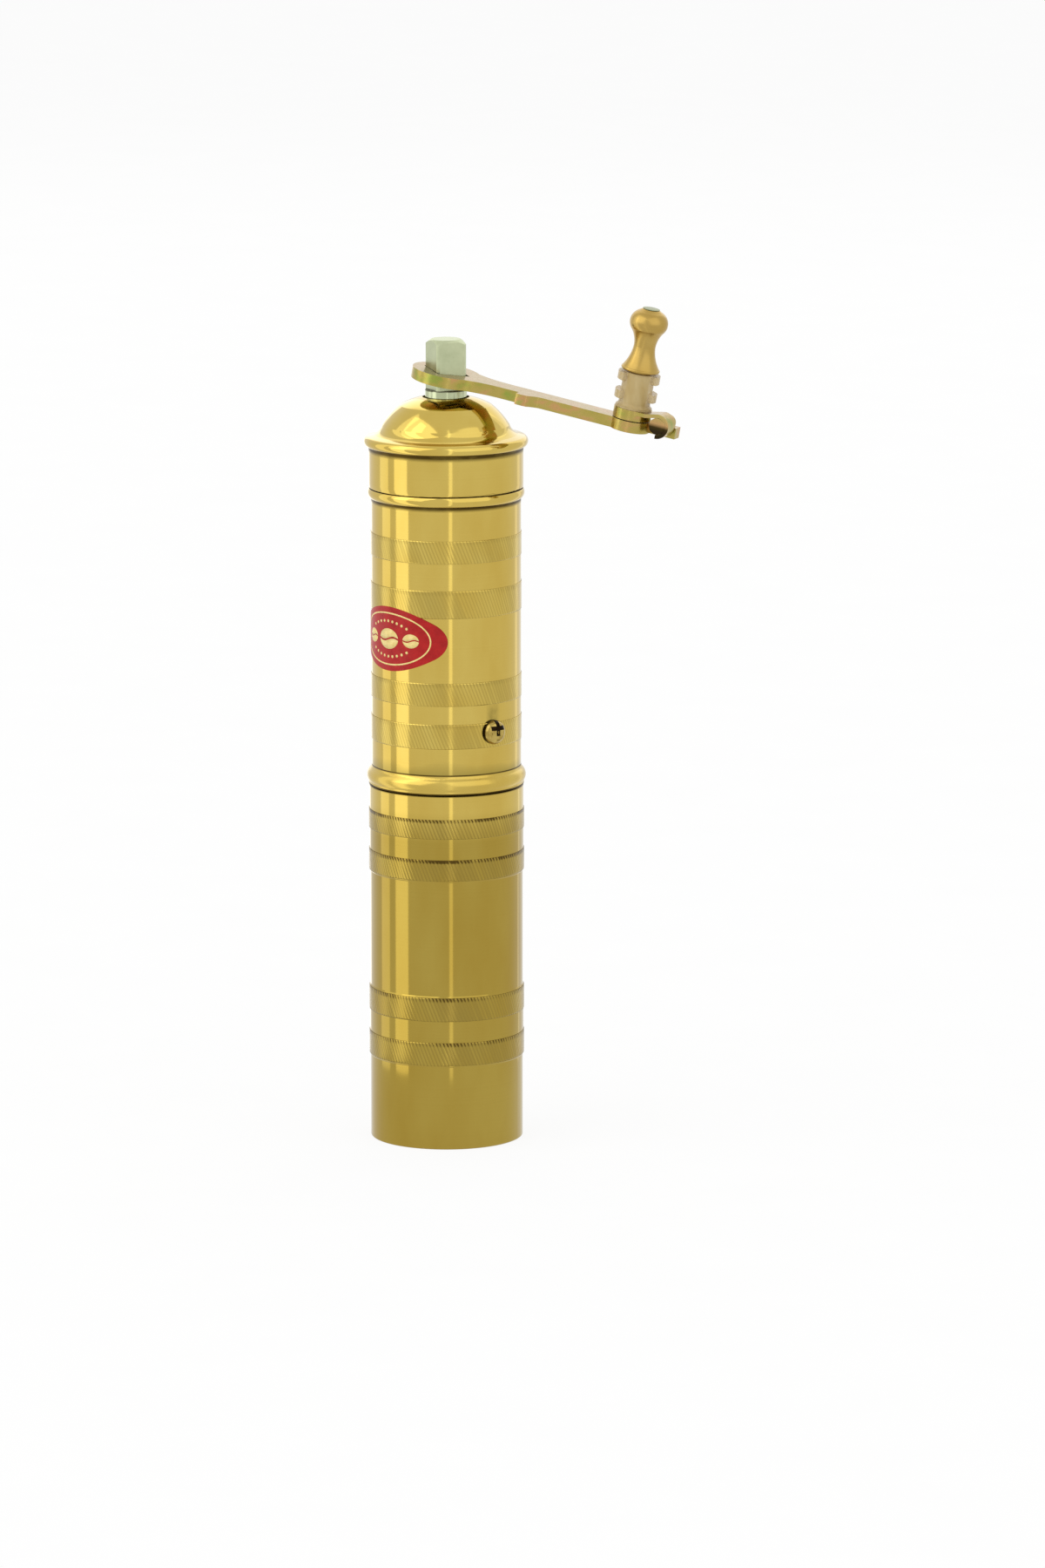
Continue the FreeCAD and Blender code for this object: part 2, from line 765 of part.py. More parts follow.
def make_guide():
    body = new_body("burr_guide")
    make_bearing_ring(body, guide_level, s.guide_height, s.guide_wall)
    hub = new_sketch(body, "XY_Plane", guide_level)
    draw_circle(hub, ZERO, ZERO, bush_outer(shaft_radius) + s.guide_hub_wall)
    pad(body, hub, s.guide_height)
    arm = new_sketch(body, "XY_Plane", guide_level)
    half_arm = s.guide_arm_width / 2
    draw_outline(arm, box_corners(ZERO, insert_radius - s.guide_wall / 2, -half_arm, half_arm))
    arm_pad = pad(body, arm, s.guide_height)
    repeat_round(body, arm_pad, GUIDE_ARM_COUNT)
    bore = new_sketch(body, "XY_Plane", guide_level)
    draw_circle(bore, ZERO, ZERO, bush_outer(shaft_radius) + s.press_gap)
    pocket(body, bore)
    return body


def make_thrust_washer():
    body = new_body("thrust_washer")
    bore = shaft_radius + s.running_gap
    outer = bore + s.washer_width
    corners = [(bore, washer_level), (outer, washer_level), (outer, washer_top), (bore, washer_top)]
    revolve(body, corners)
    return body


def make_retaining_clip():
    """An open ring that snaps into the groove of the shaft."""
    body = new_body("retaining_clip")
    top = clip_level + s.clip_thickness
    bore = shaft_radius - s.clip_groove_depth + s.press_gap
    outer = bore + s.clip_width
    revolve(body, [(bore, clip_level), (outer, clip_level), (outer, top), (bore, top)])
    opening = new_sketch(body, "XY_Plane", clip_level)
    half = s.clip_opening / 2
    draw_outline(opening, box_corners(ZERO, outer * 2, -half, half))
    pocket(body, opening)
    return body


def make_outer_burr():
    body = new_body("outer_burr")
    throat_level = burr_level + s.burr_throat_rise
    corners = [
        (burr_foot, burr_level),
        (insert_radius, burr_level),
        (insert_radius, burr_top),
        (insert_radius - s.burr_mouth_wall, burr_top),
        (burr_throat, throat_level),
    ]
    revolve(body, corners)
    cut_burr_teeth(body, burr_throat, s.outer_burr_height)
    holes = new_sketch(body, "YZ_Plane")
    draw_circle(holes, ZERO, screw_level, s.screw_diameter / 2 + s.press_gap)
    pocket(body, holes)
    turn_about_z(body, s.screw_angle)
    return body


def cut_burr_teeth(body, radius, height):
    """Cut straight notches round a burr, to either side of a radius."""
    tooth = new_sketch(body, "XY_Plane", burr_level)
    half = s.burr_tooth_width / 2
    draw_outline(tooth, box_corners(radius - s.burr_tooth_depth, radius + s.burr_tooth_depth, -half, half))
    cut = pocket(body, tooth, height, forwards=True)
    repeat_round(body, cut, BURR_TOOTH_COUNT)


def make_inner_burr():
    body = new_body("inner_burr")
    bore = shaft_radius + s.running_gap
    throat = burr_throat - s.burr_grind_gap
    foot = burr_foot - s.burr_grind_gap
    top = burr_top - s.inner_burr_drop
    corners = [
        (ZERO, burr_level),
        (foot, burr_level),
        (throat, burr_level + s.burr_throat_rise),
        (bore + s.inner_burr_top_wall, top),
        (ZERO, top),
    ]
    revolve(body, corners)
    cut_burr_teeth(body, foot, top - burr_level)
    # The bore has two flats, so that the spindle drives the burr and lets it slide.
    flat = flats_half + s.running_gap
    reach = root(bore * bore - flat * flat)
    side_rise = bore - reach
    drive = new_sketch(body, "XY_Plane", burr_level)
    sides = [(reach, -flat, side_rise, 1), (reach, flat), (-reach, flat, side_rise, 1), (-reach, -flat)]
    draw_outline(drive, sides)
    pocket(body, drive)
    return body


def make_adjusting_nut():
    body = new_body("adjusting_nut")
    bore = thread_radius + s.thread_gap
    hub = bore + s.nut_hub_wall
    rim = hub + s.nut_rim_width
    rim_top = nut_level + s.nut_rim_height
    corners = [
        (bore, nut_level),
        (rim - s.edge_chamfer, nut_level),
        (rim, nut_level + s.edge_chamfer),
        (rim, rim_top),
        (hub, rim_top),
        (hub, nut_top),
        (bore, nut_top),
    ]
    revolve(body, corners)
    grip = new_sketch(body, "XY_Plane", nut_level)
    half = s.nut_grip_width / 2
    draw_outline(grip, box_corners(rim - s.nut_grip_depth, rim + s.nut_grip_depth, -half, half))
    cut = pocket(body, grip, s.nut_rim_height, forwards=True)
    repeat_round(body, cut, NUT_GRIP_COUNT)
    return body


def make_body_screw(label, angle):
    """A round-headed screw with a cross recess, pointing at the mill's axis."""
    body = new_body(label)
    shank = s.screw_diameter / 2
    head = shank + s.screw_head_width
    seat = band_crest + s.face_gap
    rim = seat + s.screw_head_rim
    crown = seat + s.screw_head_height
    corners = [
        (tube_bore - s.screw_reach, ZERO),
        (crown, ZERO),
        (crown, s.screw_slot_width / 2, s.screw_head_bulge, 1),
        (rim, head),
        (seat, head),
        (seat, shank),
        (tube_bore - s.screw_reach, shank),
    ]
    revolve(body, corners, "H_Axis")
    recess = new_sketch(body, "YZ_Plane", crown)
    arm = s.screw_slot_length / 2
    half = s.screw_slot_width / 2
    cross = [(arm, -half), (arm, half), (half, half), (half, arm), (-half, arm), (-half, half)]
    cross += [(-arm, half), (-arm, -half), (-half, -half), (-half, -arm), (half, -arm), (half, -half)]
    draw_outline(recess, cross)
    pocket(body, recess, s.screw_slot_depth)
    turn_about_z(body, angle, screw_level)
    return body


def make_label():
    """A thin oval film that bears on the crest of the band which it overlaps."""
    level = high_bead_level - s.label_drop
    half_width = s.label_width / 2
    half_height = s.label_height / 2
    outer = doc.addObject("Part::Cylinder", "label_outside")
    outer.setExpression("Radius", (band_crest + s.label_film).formula)
    inner = doc.addObject("Part::Cylinder", "label_inside")
    inner.setExpression("Radius", band_crest.formula)
    for cylinder in (outer, inner):
        cylinder.setExpression("Height", s.label_height.formula)
        cylinder.setExpression(".Placement.Base.z", (level - half_height).formula)
    film = doc.addObject("Part::Cut", "label_film")
    film.Base = outer
    film.Tool = inner
    # The oval is four arcs that meet smoothly: two small ones at its ends, two large ones between.
    end = s.label_end_radius
    end_centre = half_width - end
    large = (end_centre * end_centre + half_height * half_height - end * end) / ((half_height - end) * 2)
    join_x = end_centre + end * end_centre / (large - end)
    join_y = end * (large - half_height) / (large - end)
    end_rise = half_width - join_x
    large_rise = half_height - join_y
    stamp = new_body("label_stamp")
    oval = new_sketch(stamp, "YZ_Plane")
    draw_outline(
        oval,
        [
            (join_x, -join_y, end_rise, 1),
            (join_x, join_y, large_rise, 1),
            (-join_x, join_y, end_rise, 1),
            (-join_x, -join_y, large_rise, 1),
        ],
    )
    pad(stamp, oval, band_crest * 2)
    turn_about_z(stamp, s.label_angle, level)
    label = doc.addObject("Part::Common", "label")
    label.Base = film
    label.Tool = stamp
    return label


def make_crank_arm():
    body = new_body("crank_arm")
    # The hole is wide enough for the whole square at the slant of the arm.
    slack = bar_radius * (as_size(1) / cosine(s.crank_droop) - 1) + crank_half * droop_tangent
    hole_corner = (square_half + s.eye_fit_gap) / HALF_SQRT_TWO + slack
    eye_radius = hole_corner + s.eye_wall
    eye = new_sketch(body, "XY_Plane")
    draw_circle(eye, ZERO, ZERO, eye_radius)
    pad(body, eye, s.crank_thickness, middle=True)
    half_arm = s.arm_width / 2
    fairing_start = eye_radius - s.fairing_inset
    fairing_end = fairing_start + s.fairing_length
    fairing = root(eye_radius * eye_radius - fairing_start * fairing_start) - s.fairing_step
    arm = new_sketch(body, "XY_Plane")
    draw_outline(
        arm,
        [
            (fairing_start, -fairing, s.fairing_hollow, -1),
            (fairing_end, -half_arm),
            (s.crank_radius, -half_arm),
            (s.crank_radius, half_arm),
            (fairing_end, half_arm, s.fairing_hollow, -1),
            (fairing_start, fairing),
        ],
    )
    pad(body, arm, s.crank_thickness, middle=True)
    lobe = new_sketch(body, "XY_Plane")
    lobe_start = fairing_end + s.lobe_gap
    lobe_root = -half_arm + s.edge_chamfer
    crest = -half_arm - s.lobe_depth
    draw_outline(
        lobe,
        [
            (lobe_start, lobe_root),
            (lobe_start, crest, s.lobe_bulge, 1),
            (lobe_start + s.lobe_crest, crest, s.lobe_hollow, -1),
            (lobe_start + s.lobe_length, lobe_root),
        ],
    )
    pad(body, lobe, s.crank_thickness, middle=True)
    boss = new_sketch(body, "XY_Plane")
    draw_circle(boss, s.crank_radius, ZERO, s.boss_diameter / 2)
    pad(body, boss, s.crank_thickness, middle=True)
    # The ear lies behind the hook of the leaf, so it starts a gap behind the hook's back face.
    ear = new_sketch(body, "XY_Plane")
    draw_outline(ear, box_corners(s.crank_radius, hinge_along + s.ear_tip, ear_front, ear_back))
    pad(body, ear, s.crank_thickness, middle=True)
    eyelet = new_sketch(body, "XZ_Plane", -ear_back)
    draw_circle(eyelet, hinge_along, hinge_height, pin_radius + s.ear_wall)
    pad(body, eyelet, s.ear_width)
    pin_hole = new_sketch(body, "XZ_Plane")
    draw_circle(pin_hole, hinge_along, hinge_height, pin_radius + s.press_gap)
    pocket(body, pin_hole)
    hole = new_sketch(body, "XY_Plane")
    diamond = [(hole_corner, ZERO), (ZERO, hole_corner), (-hole_corner, ZERO), (ZERO, -hole_corner)]
    draw_outline(hole, diamond)
    pocket(body, hole)
    hang_on_crank(body)
    return body


def make_hinge_pin():
    """A pin held in the ear of the arm, with a thicker barrel inside the hook of the leaf."""
    body = new_body("hinge_pin")
    front = s.hook_front - s.hinge_pin_recess
    back = ear_back + s.hinge_pin_overhang
    stub = new_sketch(body, "XZ_Plane", -back)
    draw_circle(stub, hinge_along, hinge_height, pin_radius)
    pad(body, stub, back + front)
    barrel_back = ear_front - s.hinge_gap
    barrel = new_sketch(body, "XZ_Plane", -barrel_back)
    draw_circle(barrel, hinge_along, hinge_height, barrel_radius)
    pad(body, barrel, barrel_back + front)
    hang_on_crank(body)
    return body


def make_knob_leaf():
    """A disc under the knob whose tongue rises from its edge and is rolled into a hook round the hinge pin."""
    body = new_body("knob_leaf")
    edge = s.crank_radius + s.leaf_diameter / 2
    disc = new_sketch(body, "XY_Plane", leaf_level)
    draw_circle(disc, s.crank_radius, ZERO, s.leaf_diameter / 2)
    pad(body, disc, s.leaf_thickness)
    hook = new_sketch(body, "XZ_Plane", -hook_back)
    outer_rise = hook_outer * QUARTER_RISE
    inner_rise = hook_inner * QUARTER_RISE
    draw_outline(
        hook,
        [
            (s.crank_radius, leaf_top - s.hook_thickness),
            (edge, leaf_top - s.hook_thickness),
            (hinge_along, hinge_height + hook_inner, inner_rise, -1),
            (hinge_along + hook_inner, hinge_height, inner_rise, -1),
            (hinge_along, hinge_height - hook_inner),
            (hinge_along, hinge_height - hook_outer, outer_rise, 1),
            (hinge_along + hook_outer, hinge_height, outer_rise, 1),
            (hinge_along, hinge_height + hook_outer),
            (edge, leaf_top),
            (s.crank_radius, leaf_top),
        ],
    )
    pad(body, hook, s.hook_width)
    rivet_hole = new_sketch(body, "XY_Plane", leaf_level)
    draw_circle(rivet_hole, s.crank_radius, ZERO, rivet_radius + s.press_gap)
    pocket(body, rivet_hole)
    hang_on_crank(body)
    return body


def make_knob_sleeve():
    body = new_body("knob_sleeve")
    bore = shank_radius + s.running_gap
    outer = bore + s.sleeve_wall
    foot = outer + s.sleeve_foot_width
    foot_top = leaf_top + s.sleeve_foot_height
    corners = [
        (bore, leaf_top),
        (foot, leaf_top),
        (foot, foot_top, s.sleeve_flare_hollow, -1),
        (outer, foot_top + s.sleeve_flare_height),
        (outer, sleeve_top),
        (bore, sleeve_top),
    ]
    revolve(body, corners)
    rib_outer = outer + s.rib_depth
    rib_root = outer - s.rib_root_depth
    half_spread = s.rib_spread / 2
    tip_rise = rib_outer * (as_size(1) - cosine(half_spread))
    root_rise = rib_root * (as_size(1) - cosine(half_spread))
    # Two tiers of ribs, each with one rib to either side of the sleeve.
    for level in (leaf_top + s.rib_foot_gap, sleeve_top - s.rib_top_gap - s.rib_height):
        ribs = new_sketch(body, "XY_Plane", level)
        for turn in (0, 180):
            start = s.rib_direction - half_spread + turn
            end = s.rib_direction + half_spread + turn
            draw_outline(
                ribs,
                [
                    (rib_root * cosine(start), rib_root * sine(start)),
                    (rib_outer * cosine(start), rib_outer * sine(start), tip_rise, 1),
                    (rib_outer * cosine(end), rib_outer * sine(end)),
                    (rib_root * cosine(end), rib_root * sine(end), root_rise, -1),
                ],
            )
        pad(body, ribs, s.rib_height)
    hang_on_crank(body, s.crank_radius)
    return body


def make_knob_rivet():
    body = new_body("knob_rivet")
    head_level = knob_top + s.face_gap
    crown = head_level + s.rivet_head_height
    corners = [
        (ZERO, leaf_level),
        (rivet_radius, leaf_level),
        (rivet_radius, head_level),
        (rivet_head, head_level),
        (rivet_head, head_level + s.rivet_head_rim, s.rivet_head_bulge, 1),
        (s.rivet_head_flat / 2, crown),
        (ZERO, crown),
    ]
    revolve(body, corners)
    hang_on_crank(body, s.crank_radius)
    return body


def make_knob():
    body = new_body("knob")
    base = s.knob_base_diameter / 2 - s.knob_base_bulge
    waist = knob_bore + s.knob_waist_wall
    throat = s.knob_throat_diameter / 2
    shank_level = leaf_top + s.shank_lift
    corners = [
        (knob_bore, shank_level),
        (shank_radius, shank_level),
        (shank_radius, knob_level),
        (base, knob_level, s.knob_base_bulge, 1),
        (base, knob_level + s.knob_base_height, s.knob_lower_hollow, -1),
        (waist, knob_level + s.knob_waist_rise, s.knob_upper_hollow, -1),
        (throat, knob_level + s.knob_throat_rise, s.knob_head_bulge, 1),
        (rivet_head + s.knob_crown_width, knob_top - s.knob_crown_drop),
        (rivet_head, knob_top),
        (knob_bore, knob_top),
    ]
    revolve(body, corners)
    hang_on_crank(body, s.crank_radius)
    return body


pieces = [
    make_cup_wall(),
    make_cup_base(),
    make_upper_tube(),
    make_lid_skirt(),
    make_lid_dome(),
    make_spindle(),
    make_bush("top_bush", bar_radius, bridge_level, s.bridge_height, flange_below=False),
    make_bush("guide_bush", shaft_radius, guide_level, s.guide_height, flange_below=True),
    make_top_bridge(),
    make_guide(),
    make_thrust_washer(),
    make_retaining_clip(),
    make_outer_burr(),
    make_inner_burr(),
    make_adjusting_nut(),
    make_body_screw("body_screw_front", s.screw_angle),
    make_body_screw("body_screw_back", s.screw_angle + 180),
    make_label(),
    make_crank_arm(),
    make_hinge_pin(),
    make_knob_leaf(),
    make_knob_sleeve(),
    make_knob_rivet(),
    make_knob(),
]
doc.recompute()

for item in doc.Objects:
    if "Invalid" in item.State or "Error" in item.State:
        raise RuntimeError("%s did not build" % item.Label)
for piece in pieces:
    if piece.Shape.isNull() or not piece.Shape.isValid() or len(piece.Shape.Solids) != 1:
        raise RuntimeError("%s is not one sound solid" % piece.Label)

os.makedirs("parts", exist_ok=True)
for piece in pieces:
    piece.Shape.exportStep("parts/%s.step" % piece.Label)
    print("%-18s %10.1f mm3" % (piece.Label, piece.Shape.Volume))
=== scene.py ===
import math
import random

import bpy
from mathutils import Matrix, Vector


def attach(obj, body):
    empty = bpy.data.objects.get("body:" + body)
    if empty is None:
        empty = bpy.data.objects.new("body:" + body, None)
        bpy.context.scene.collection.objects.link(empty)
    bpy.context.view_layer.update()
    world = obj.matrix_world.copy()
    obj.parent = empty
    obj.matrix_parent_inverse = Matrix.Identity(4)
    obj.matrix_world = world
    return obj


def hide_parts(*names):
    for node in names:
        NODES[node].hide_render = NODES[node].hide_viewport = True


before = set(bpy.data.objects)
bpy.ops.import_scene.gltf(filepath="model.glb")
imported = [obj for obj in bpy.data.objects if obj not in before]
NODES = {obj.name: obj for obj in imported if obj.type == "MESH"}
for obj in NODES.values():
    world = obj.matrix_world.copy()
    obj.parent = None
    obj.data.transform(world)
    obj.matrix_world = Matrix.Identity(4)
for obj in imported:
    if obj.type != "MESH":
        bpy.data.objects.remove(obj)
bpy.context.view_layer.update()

MM = 0.001
UP = (0.0, 0.0, 1.0)

# The photograph's view: where the camera stands round the mill, how far and how high.
CAMERA_AZIMUTH = math.radians(21.7)
CAMERA_DISTANCE = 2.719
CAMERA_HEIGHT = 0.6039
CAMERA_TILT = math.radians(90.0 - 10.408)
CAMERA_PAN = CAMERA_AZIMUTH - math.radians(0.468)
CAMERA_LENS = 217.24
SENSOR_WIDTH = 36.0
CLIP_NEAR = 0.05
CLIP_FAR = 60.0

# Radii and levels of the turned pieces, in millimetres.
CUP_BAND_RADIUS = 22.6
TUBE_BAND_RADIUS = 21.9
LOW_CUP_BANDS = ((25.0, 31.8), (38.2, 45.1))
HIGH_CUP_BANDS = ((79.8, 86.0), (92.2, 97.9))
TUBE_BANDS = ((118.6, 125.8), (131.2, 137.9), (156.9, 165.0), (172.9, 179.5))
SKIRT_BORE = 21.75
SKIRT_RADIUS = 22.5
SKIRT_FOOT = 192.4
SKIRT_TOP = 204.4
LABEL_ANGLE = math.radians(-118.0)
LABEL_LEVEL = 150.0
LABEL_FACE = 22.02
KNOB_AXIS = Vector((0.18738, 0.0, 0.98229))
HINGE = Vector((67.0, 0.0, 214.1))
SQUARE_LEVEL = 220.85
SCREW_ANGLE = math.radians(-30.0)
SCREW_LEVEL = 124.4
SCREW_RIM = 22.5
SCREW_OUTWARD = (math.cos(SCREW_ANGLE), math.sin(SCREW_ANGLE), 0.0)
SCREW_ACROSS = (-math.sin(SCREW_ANGLE), math.cos(SCREW_ANGLE), 0.0)

# Soft edges of the screws' cross and of the dark streak over them, a painted reflection and shadow of
# the screw with some grease, in millimetres from the screw's middle.
CROSS_HALF_WIDTH = (0.58, 0.72)
CROSS_HALF_LENGTH = (2.2, 2.4)
STREAK_HALF_WIDTH = (0.4, 2.6)
STREAK_RISE = (-3.0, 3.0)
STREAK_FALL = (3.0, 9.0)

# Corners of the body darkened by grime and painted shade: the lowest and highest level and the width of
# the soft edge, in millimetres.
SOIL_AND_SHADE_LINES = (
    (203.7, 204.5, 1.1),
    (192.2, 192.4, 0.12),
    (188.8, 189.3, 0.9),
    (110.7, 110.9, 0.3),
    (104.8, 105.5, 0.4),
)

# The bead between cup and tube, and how far the painted shade over it reaches up.
LOW_BEAD = (105.0, 111.0)
BEAD_EDGE = 0.6
BEAD_DULLNESS = 0.13
SHADE_REACH = (1.2, 4.2)

# The cup is painted darker and browner than the tube, a painted shade, which fades between these
# levels.
CUP_SHADE_FADE = (91.0, 100.0)
CUP_SHADE_COLOUR = (0.66, 0.64, 0.52)


class Graph:
    """The node tree of one material or of the world."""

    def __init__(self, tree):
        self.tree = tree
        tree.nodes.clear()

    def add(self, kind, **settings):
        """Add a node and set its own settings."""
        node = self.tree.nodes.new(kind)
        for name, value in settings.items():
            setattr(node, name, value)
        return node

    def feed(self, socket, value):
        """Link a socket to another, or set it to a plain value."""
        if isinstance(value, bpy.types.NodeSocket):
            self.tree.links.new(value, socket)
        elif socket.type == "RGBA":
            socket.default_value = tuple(value) + (1.0,)
        else:
            socket.default_value = value

    def math(self, operation, first, second=0.0, clamp=False):
        node = self.add("ShaderNodeMath", operation=operation, use_clamp=clamp)
        self.feed(node.inputs[0], first)
        self.feed(node.inputs[1], second)
        return node.outputs[0]

    def dot(self, vector, direction):
        node = self.add("ShaderNodeVectorMath", operation="DOT_PRODUCT")
        self.feed(node.inputs[0], vector)
        self.feed(node.inputs[1], direction)
        return node.outputs["Value"]

    def spread(self, value, low, high, to_low=0.0, to_high=1.0):
        """Map a value from one range to another, and hold it there."""
        node = self.add("ShaderNodeMapRange", clamp=True)
        for socket, number in zip(node.inputs, (value, low, high, to_low, to_high)):
            self.feed(socket, number)
        return node.outputs["Result"]

    def ramp(self, factor, stops):
        """Give the colour of a ramp through (place, colour) stops."""
        node = self.add("ShaderNodeValToRGB")
        elements = node.color_ramp.elements
        while len(elements) < len(stops):
            elements.new(1.0)
        for element, (place, colour) in zip(elements, stops):
            element.position = place
            element.color = tuple(colour) + (1.0,)
        self.feed(node.inputs[0], factor)
        return node.outputs["Color"]

    def blend(self, factor, first, second, mode="MIX"):
        """Mix two colours."""
        node = self.add("ShaderNodeMix", data_type="RGBA", blend_type=mode)
        self.feed(node.inputs["Factor"], factor)
        self.feed(node.inputs[6], first)
        self.feed(node.inputs[7], second)
        return node.outputs[2]

    def mix_shaders(self, factor, first, second):
        node = self.add("ShaderNodeMixShader")
        for socket, value in zip(node.inputs, (factor, first, second)):
            self.feed(socket, value)
        return node.outputs[0]

    def place(self):
        """Give the surface point in the mill's own frame, in metres."""
        return self.add("ShaderNodeTexCoord").outputs["Object"]

    def stretch(self, vector, scale):
        node = self.add("ShaderNodeMapping")
        self.feed(node.inputs["Vector"], vector)
        node.inputs["Scale"].default_value = scale
        return node.outputs["Vector"]

    def noise(self, vector, scale, detail=2.0, roughness=0.5):
        node = self.add("ShaderNodeTexNoise")
        self.feed(node.inputs["Vector"], vector)
        node.inputs["Scale"].default_value = scale
        node.inputs["Detail"].default_value = detail
        node.inputs["Roughness"].default_value = roughness
        return node.outputs["Fac"]

    def bump(self, height, strength, distance):
        node = self.add("ShaderNodeBump")
        node.inputs["Strength"].default_value = strength
        node.inputs["Distance"].default_value = distance
        self.feed(node.inputs["Height"], height)
        return node.outputs["Normal"]

    def close(self, colour, roughness, normal, constants):
        """Link the shader's varying sockets, set its constant ones and join it to the output."""
        shader = self.add("ShaderNodeBsdfPrincipled")
        self.feed(shader.inputs["Base Color"], colour)
        self.feed(shader.inputs["Roughness"], roughness)
        self.feed(shader.inputs["Normal"], normal)
        for name, value in constants.items():
            self.feed(shader.inputs[name], value)
        output = self.add("ShaderNodeOutputMaterial")
        self.feed(output.inputs["Surface"], shader.outputs[0])


def new_material(name):
    """Start a material and its graph."""
    material = bpy.data.materials.new(name)
    material.use_nodes = True
    return material, Graph(material.node_tree)


def turned_lines(graph, place, along, pitch):
    """Give fine lines round an axis: noise that is long round it and short along it."""
    slow = graph.stretch(place, (18.0, 18.0, 18.0))
    shift = graph.math("MULTIPLY", graph.noise(slow, 1.0), 0.6)
    steps = graph.math("ADD", graph.math("DIVIDE", along, pitch * MM), shift)
    vector = graph.add("ShaderNodeCombineXYZ")
    graph.feed(vector.inputs["Z"], steps)
    return graph.noise(vector.outputs[0], 1.0, detail=3.0, roughness=0.6)


def soft_edge(graph, value, edge, start=0.0, end=1.0):
    """Give a value that goes from start to end over an edge, whose two sides are in millimetres."""
    return graph.spread(value, edge[0] * MM, edge[1] * MM, start, end)


def soil_and_shade_in_corners(graph, place, level):
    """Give the share of grime and painted shade: dark lines in the body's corners, uneven round the
    axis.
    """
    dark_lines = None
    for low, high, edge in SOIL_AND_SHADE_LINES:
        rise = graph.spread(level, (low - edge) * MM, low * MM)
        fall = graph.spread(level, high * MM, (high + 0.3 * edge) * MM, 1.0, 0.0)
        line = graph.math("MULTIPLY", rise, fall)
        dark_lines = line if dark_lines is None else graph.math("MAXIMUM", dark_lines, line)
    patches = graph.noise(graph.stretch(place, (160.0, 160.0, 400.0)), 1.0, detail=3.0)
    return graph.math("MULTIPLY", dark_lines, graph.spread(patches, 0.3, 0.55, 0.82, 0.95))


def screw_reflection_and_smear(graph, place, level):
    """Give the share of the dark streak over each body screw: painted reflection and shadow of the
    screw, with some grease.
    """
    across = graph.dot(place, SCREW_ACROSS)
    above = graph.math("SUBTRACT", level, SCREW_LEVEL * MM)
    near = soft_edge(graph, graph.math("ABSOLUTE", across), STREAK_HALF_WIDTH, 1.0, 0.0)
    rise = soft_edge(graph, above, STREAK_RISE)
    fall = soft_edge(graph, above, STREAK_FALL, 1.0, 0.0)
    streak = graph.math("MULTIPLY", graph.math("MULTIPLY", rise, fall), near)
    patches = graph.noise(place, 420.0, detail=3.0)
    return graph.math("MULTIPLY", streak, graph.spread(patches, 0.3, 0.65, 0.35, 1.0))


def dull_bead(graph, level):
    """Give the added roughness of the bead between cup and tube, which is rubbed satin by hands."""
    low, high = LOW_BEAD
    rise = soft_edge(graph, level, (low, low + BEAD_EDGE))
    fall = soft_edge(graph, level, (high - BEAD_EDGE, high), 1.0, 0.0)
    return graph.math("MULTIPLY", graph.math("MULTIPLY", rise, fall), BEAD_DULLNESS)


def shade_over_bead(graph, place, level):
    """Give the share of painted olive shade on the tube just above the bead, a painted reflection, with
    a wavy upper edge.
    """
    waves = graph.noise(graph.stretch(place, (70.0, 70.0, 8.0)), 1.0, detail=1.0)
    above = graph.math("SUBTRACT", level, LOW_BEAD[1] * MM)
    reach = graph.spread(waves, 0.35, 0.65, SHADE_REACH[0] * MM, SHADE_REACH[1] * MM)
    fade = graph.math("SUBTRACT", 1.0, graph.math("DIVIDE", above, reach), clamp=True)
    return graph.math("MULTIPLY", fade, graph.math("GREATER_THAN", above, -0.3 * MM))


def shade_cup(graph, level, colour):
    """Give the brass colour with painted shade, darker and browner over the height of the cup."""
    cup_shade = soft_edge(graph, level, CUP_SHADE_FADE, 1.0, 0.0)
    return graph.blend(cup_shade, colour, CUP_SHADE_COLOUR, "MULTIPLY")


def inside_of_mill(graph, place):
    """Give the share of the walls that face the mill's axis."""
    facing = graph.add("ShaderNodeNewGeometry").outputs["Normal"]
    outward = graph.dot(facing, graph.stretch(place, (1.0, 1.0, 0.0)))
    return graph.spread(outward, -4.0 * MM, -1.0 * MM, 1.0, 0.0)


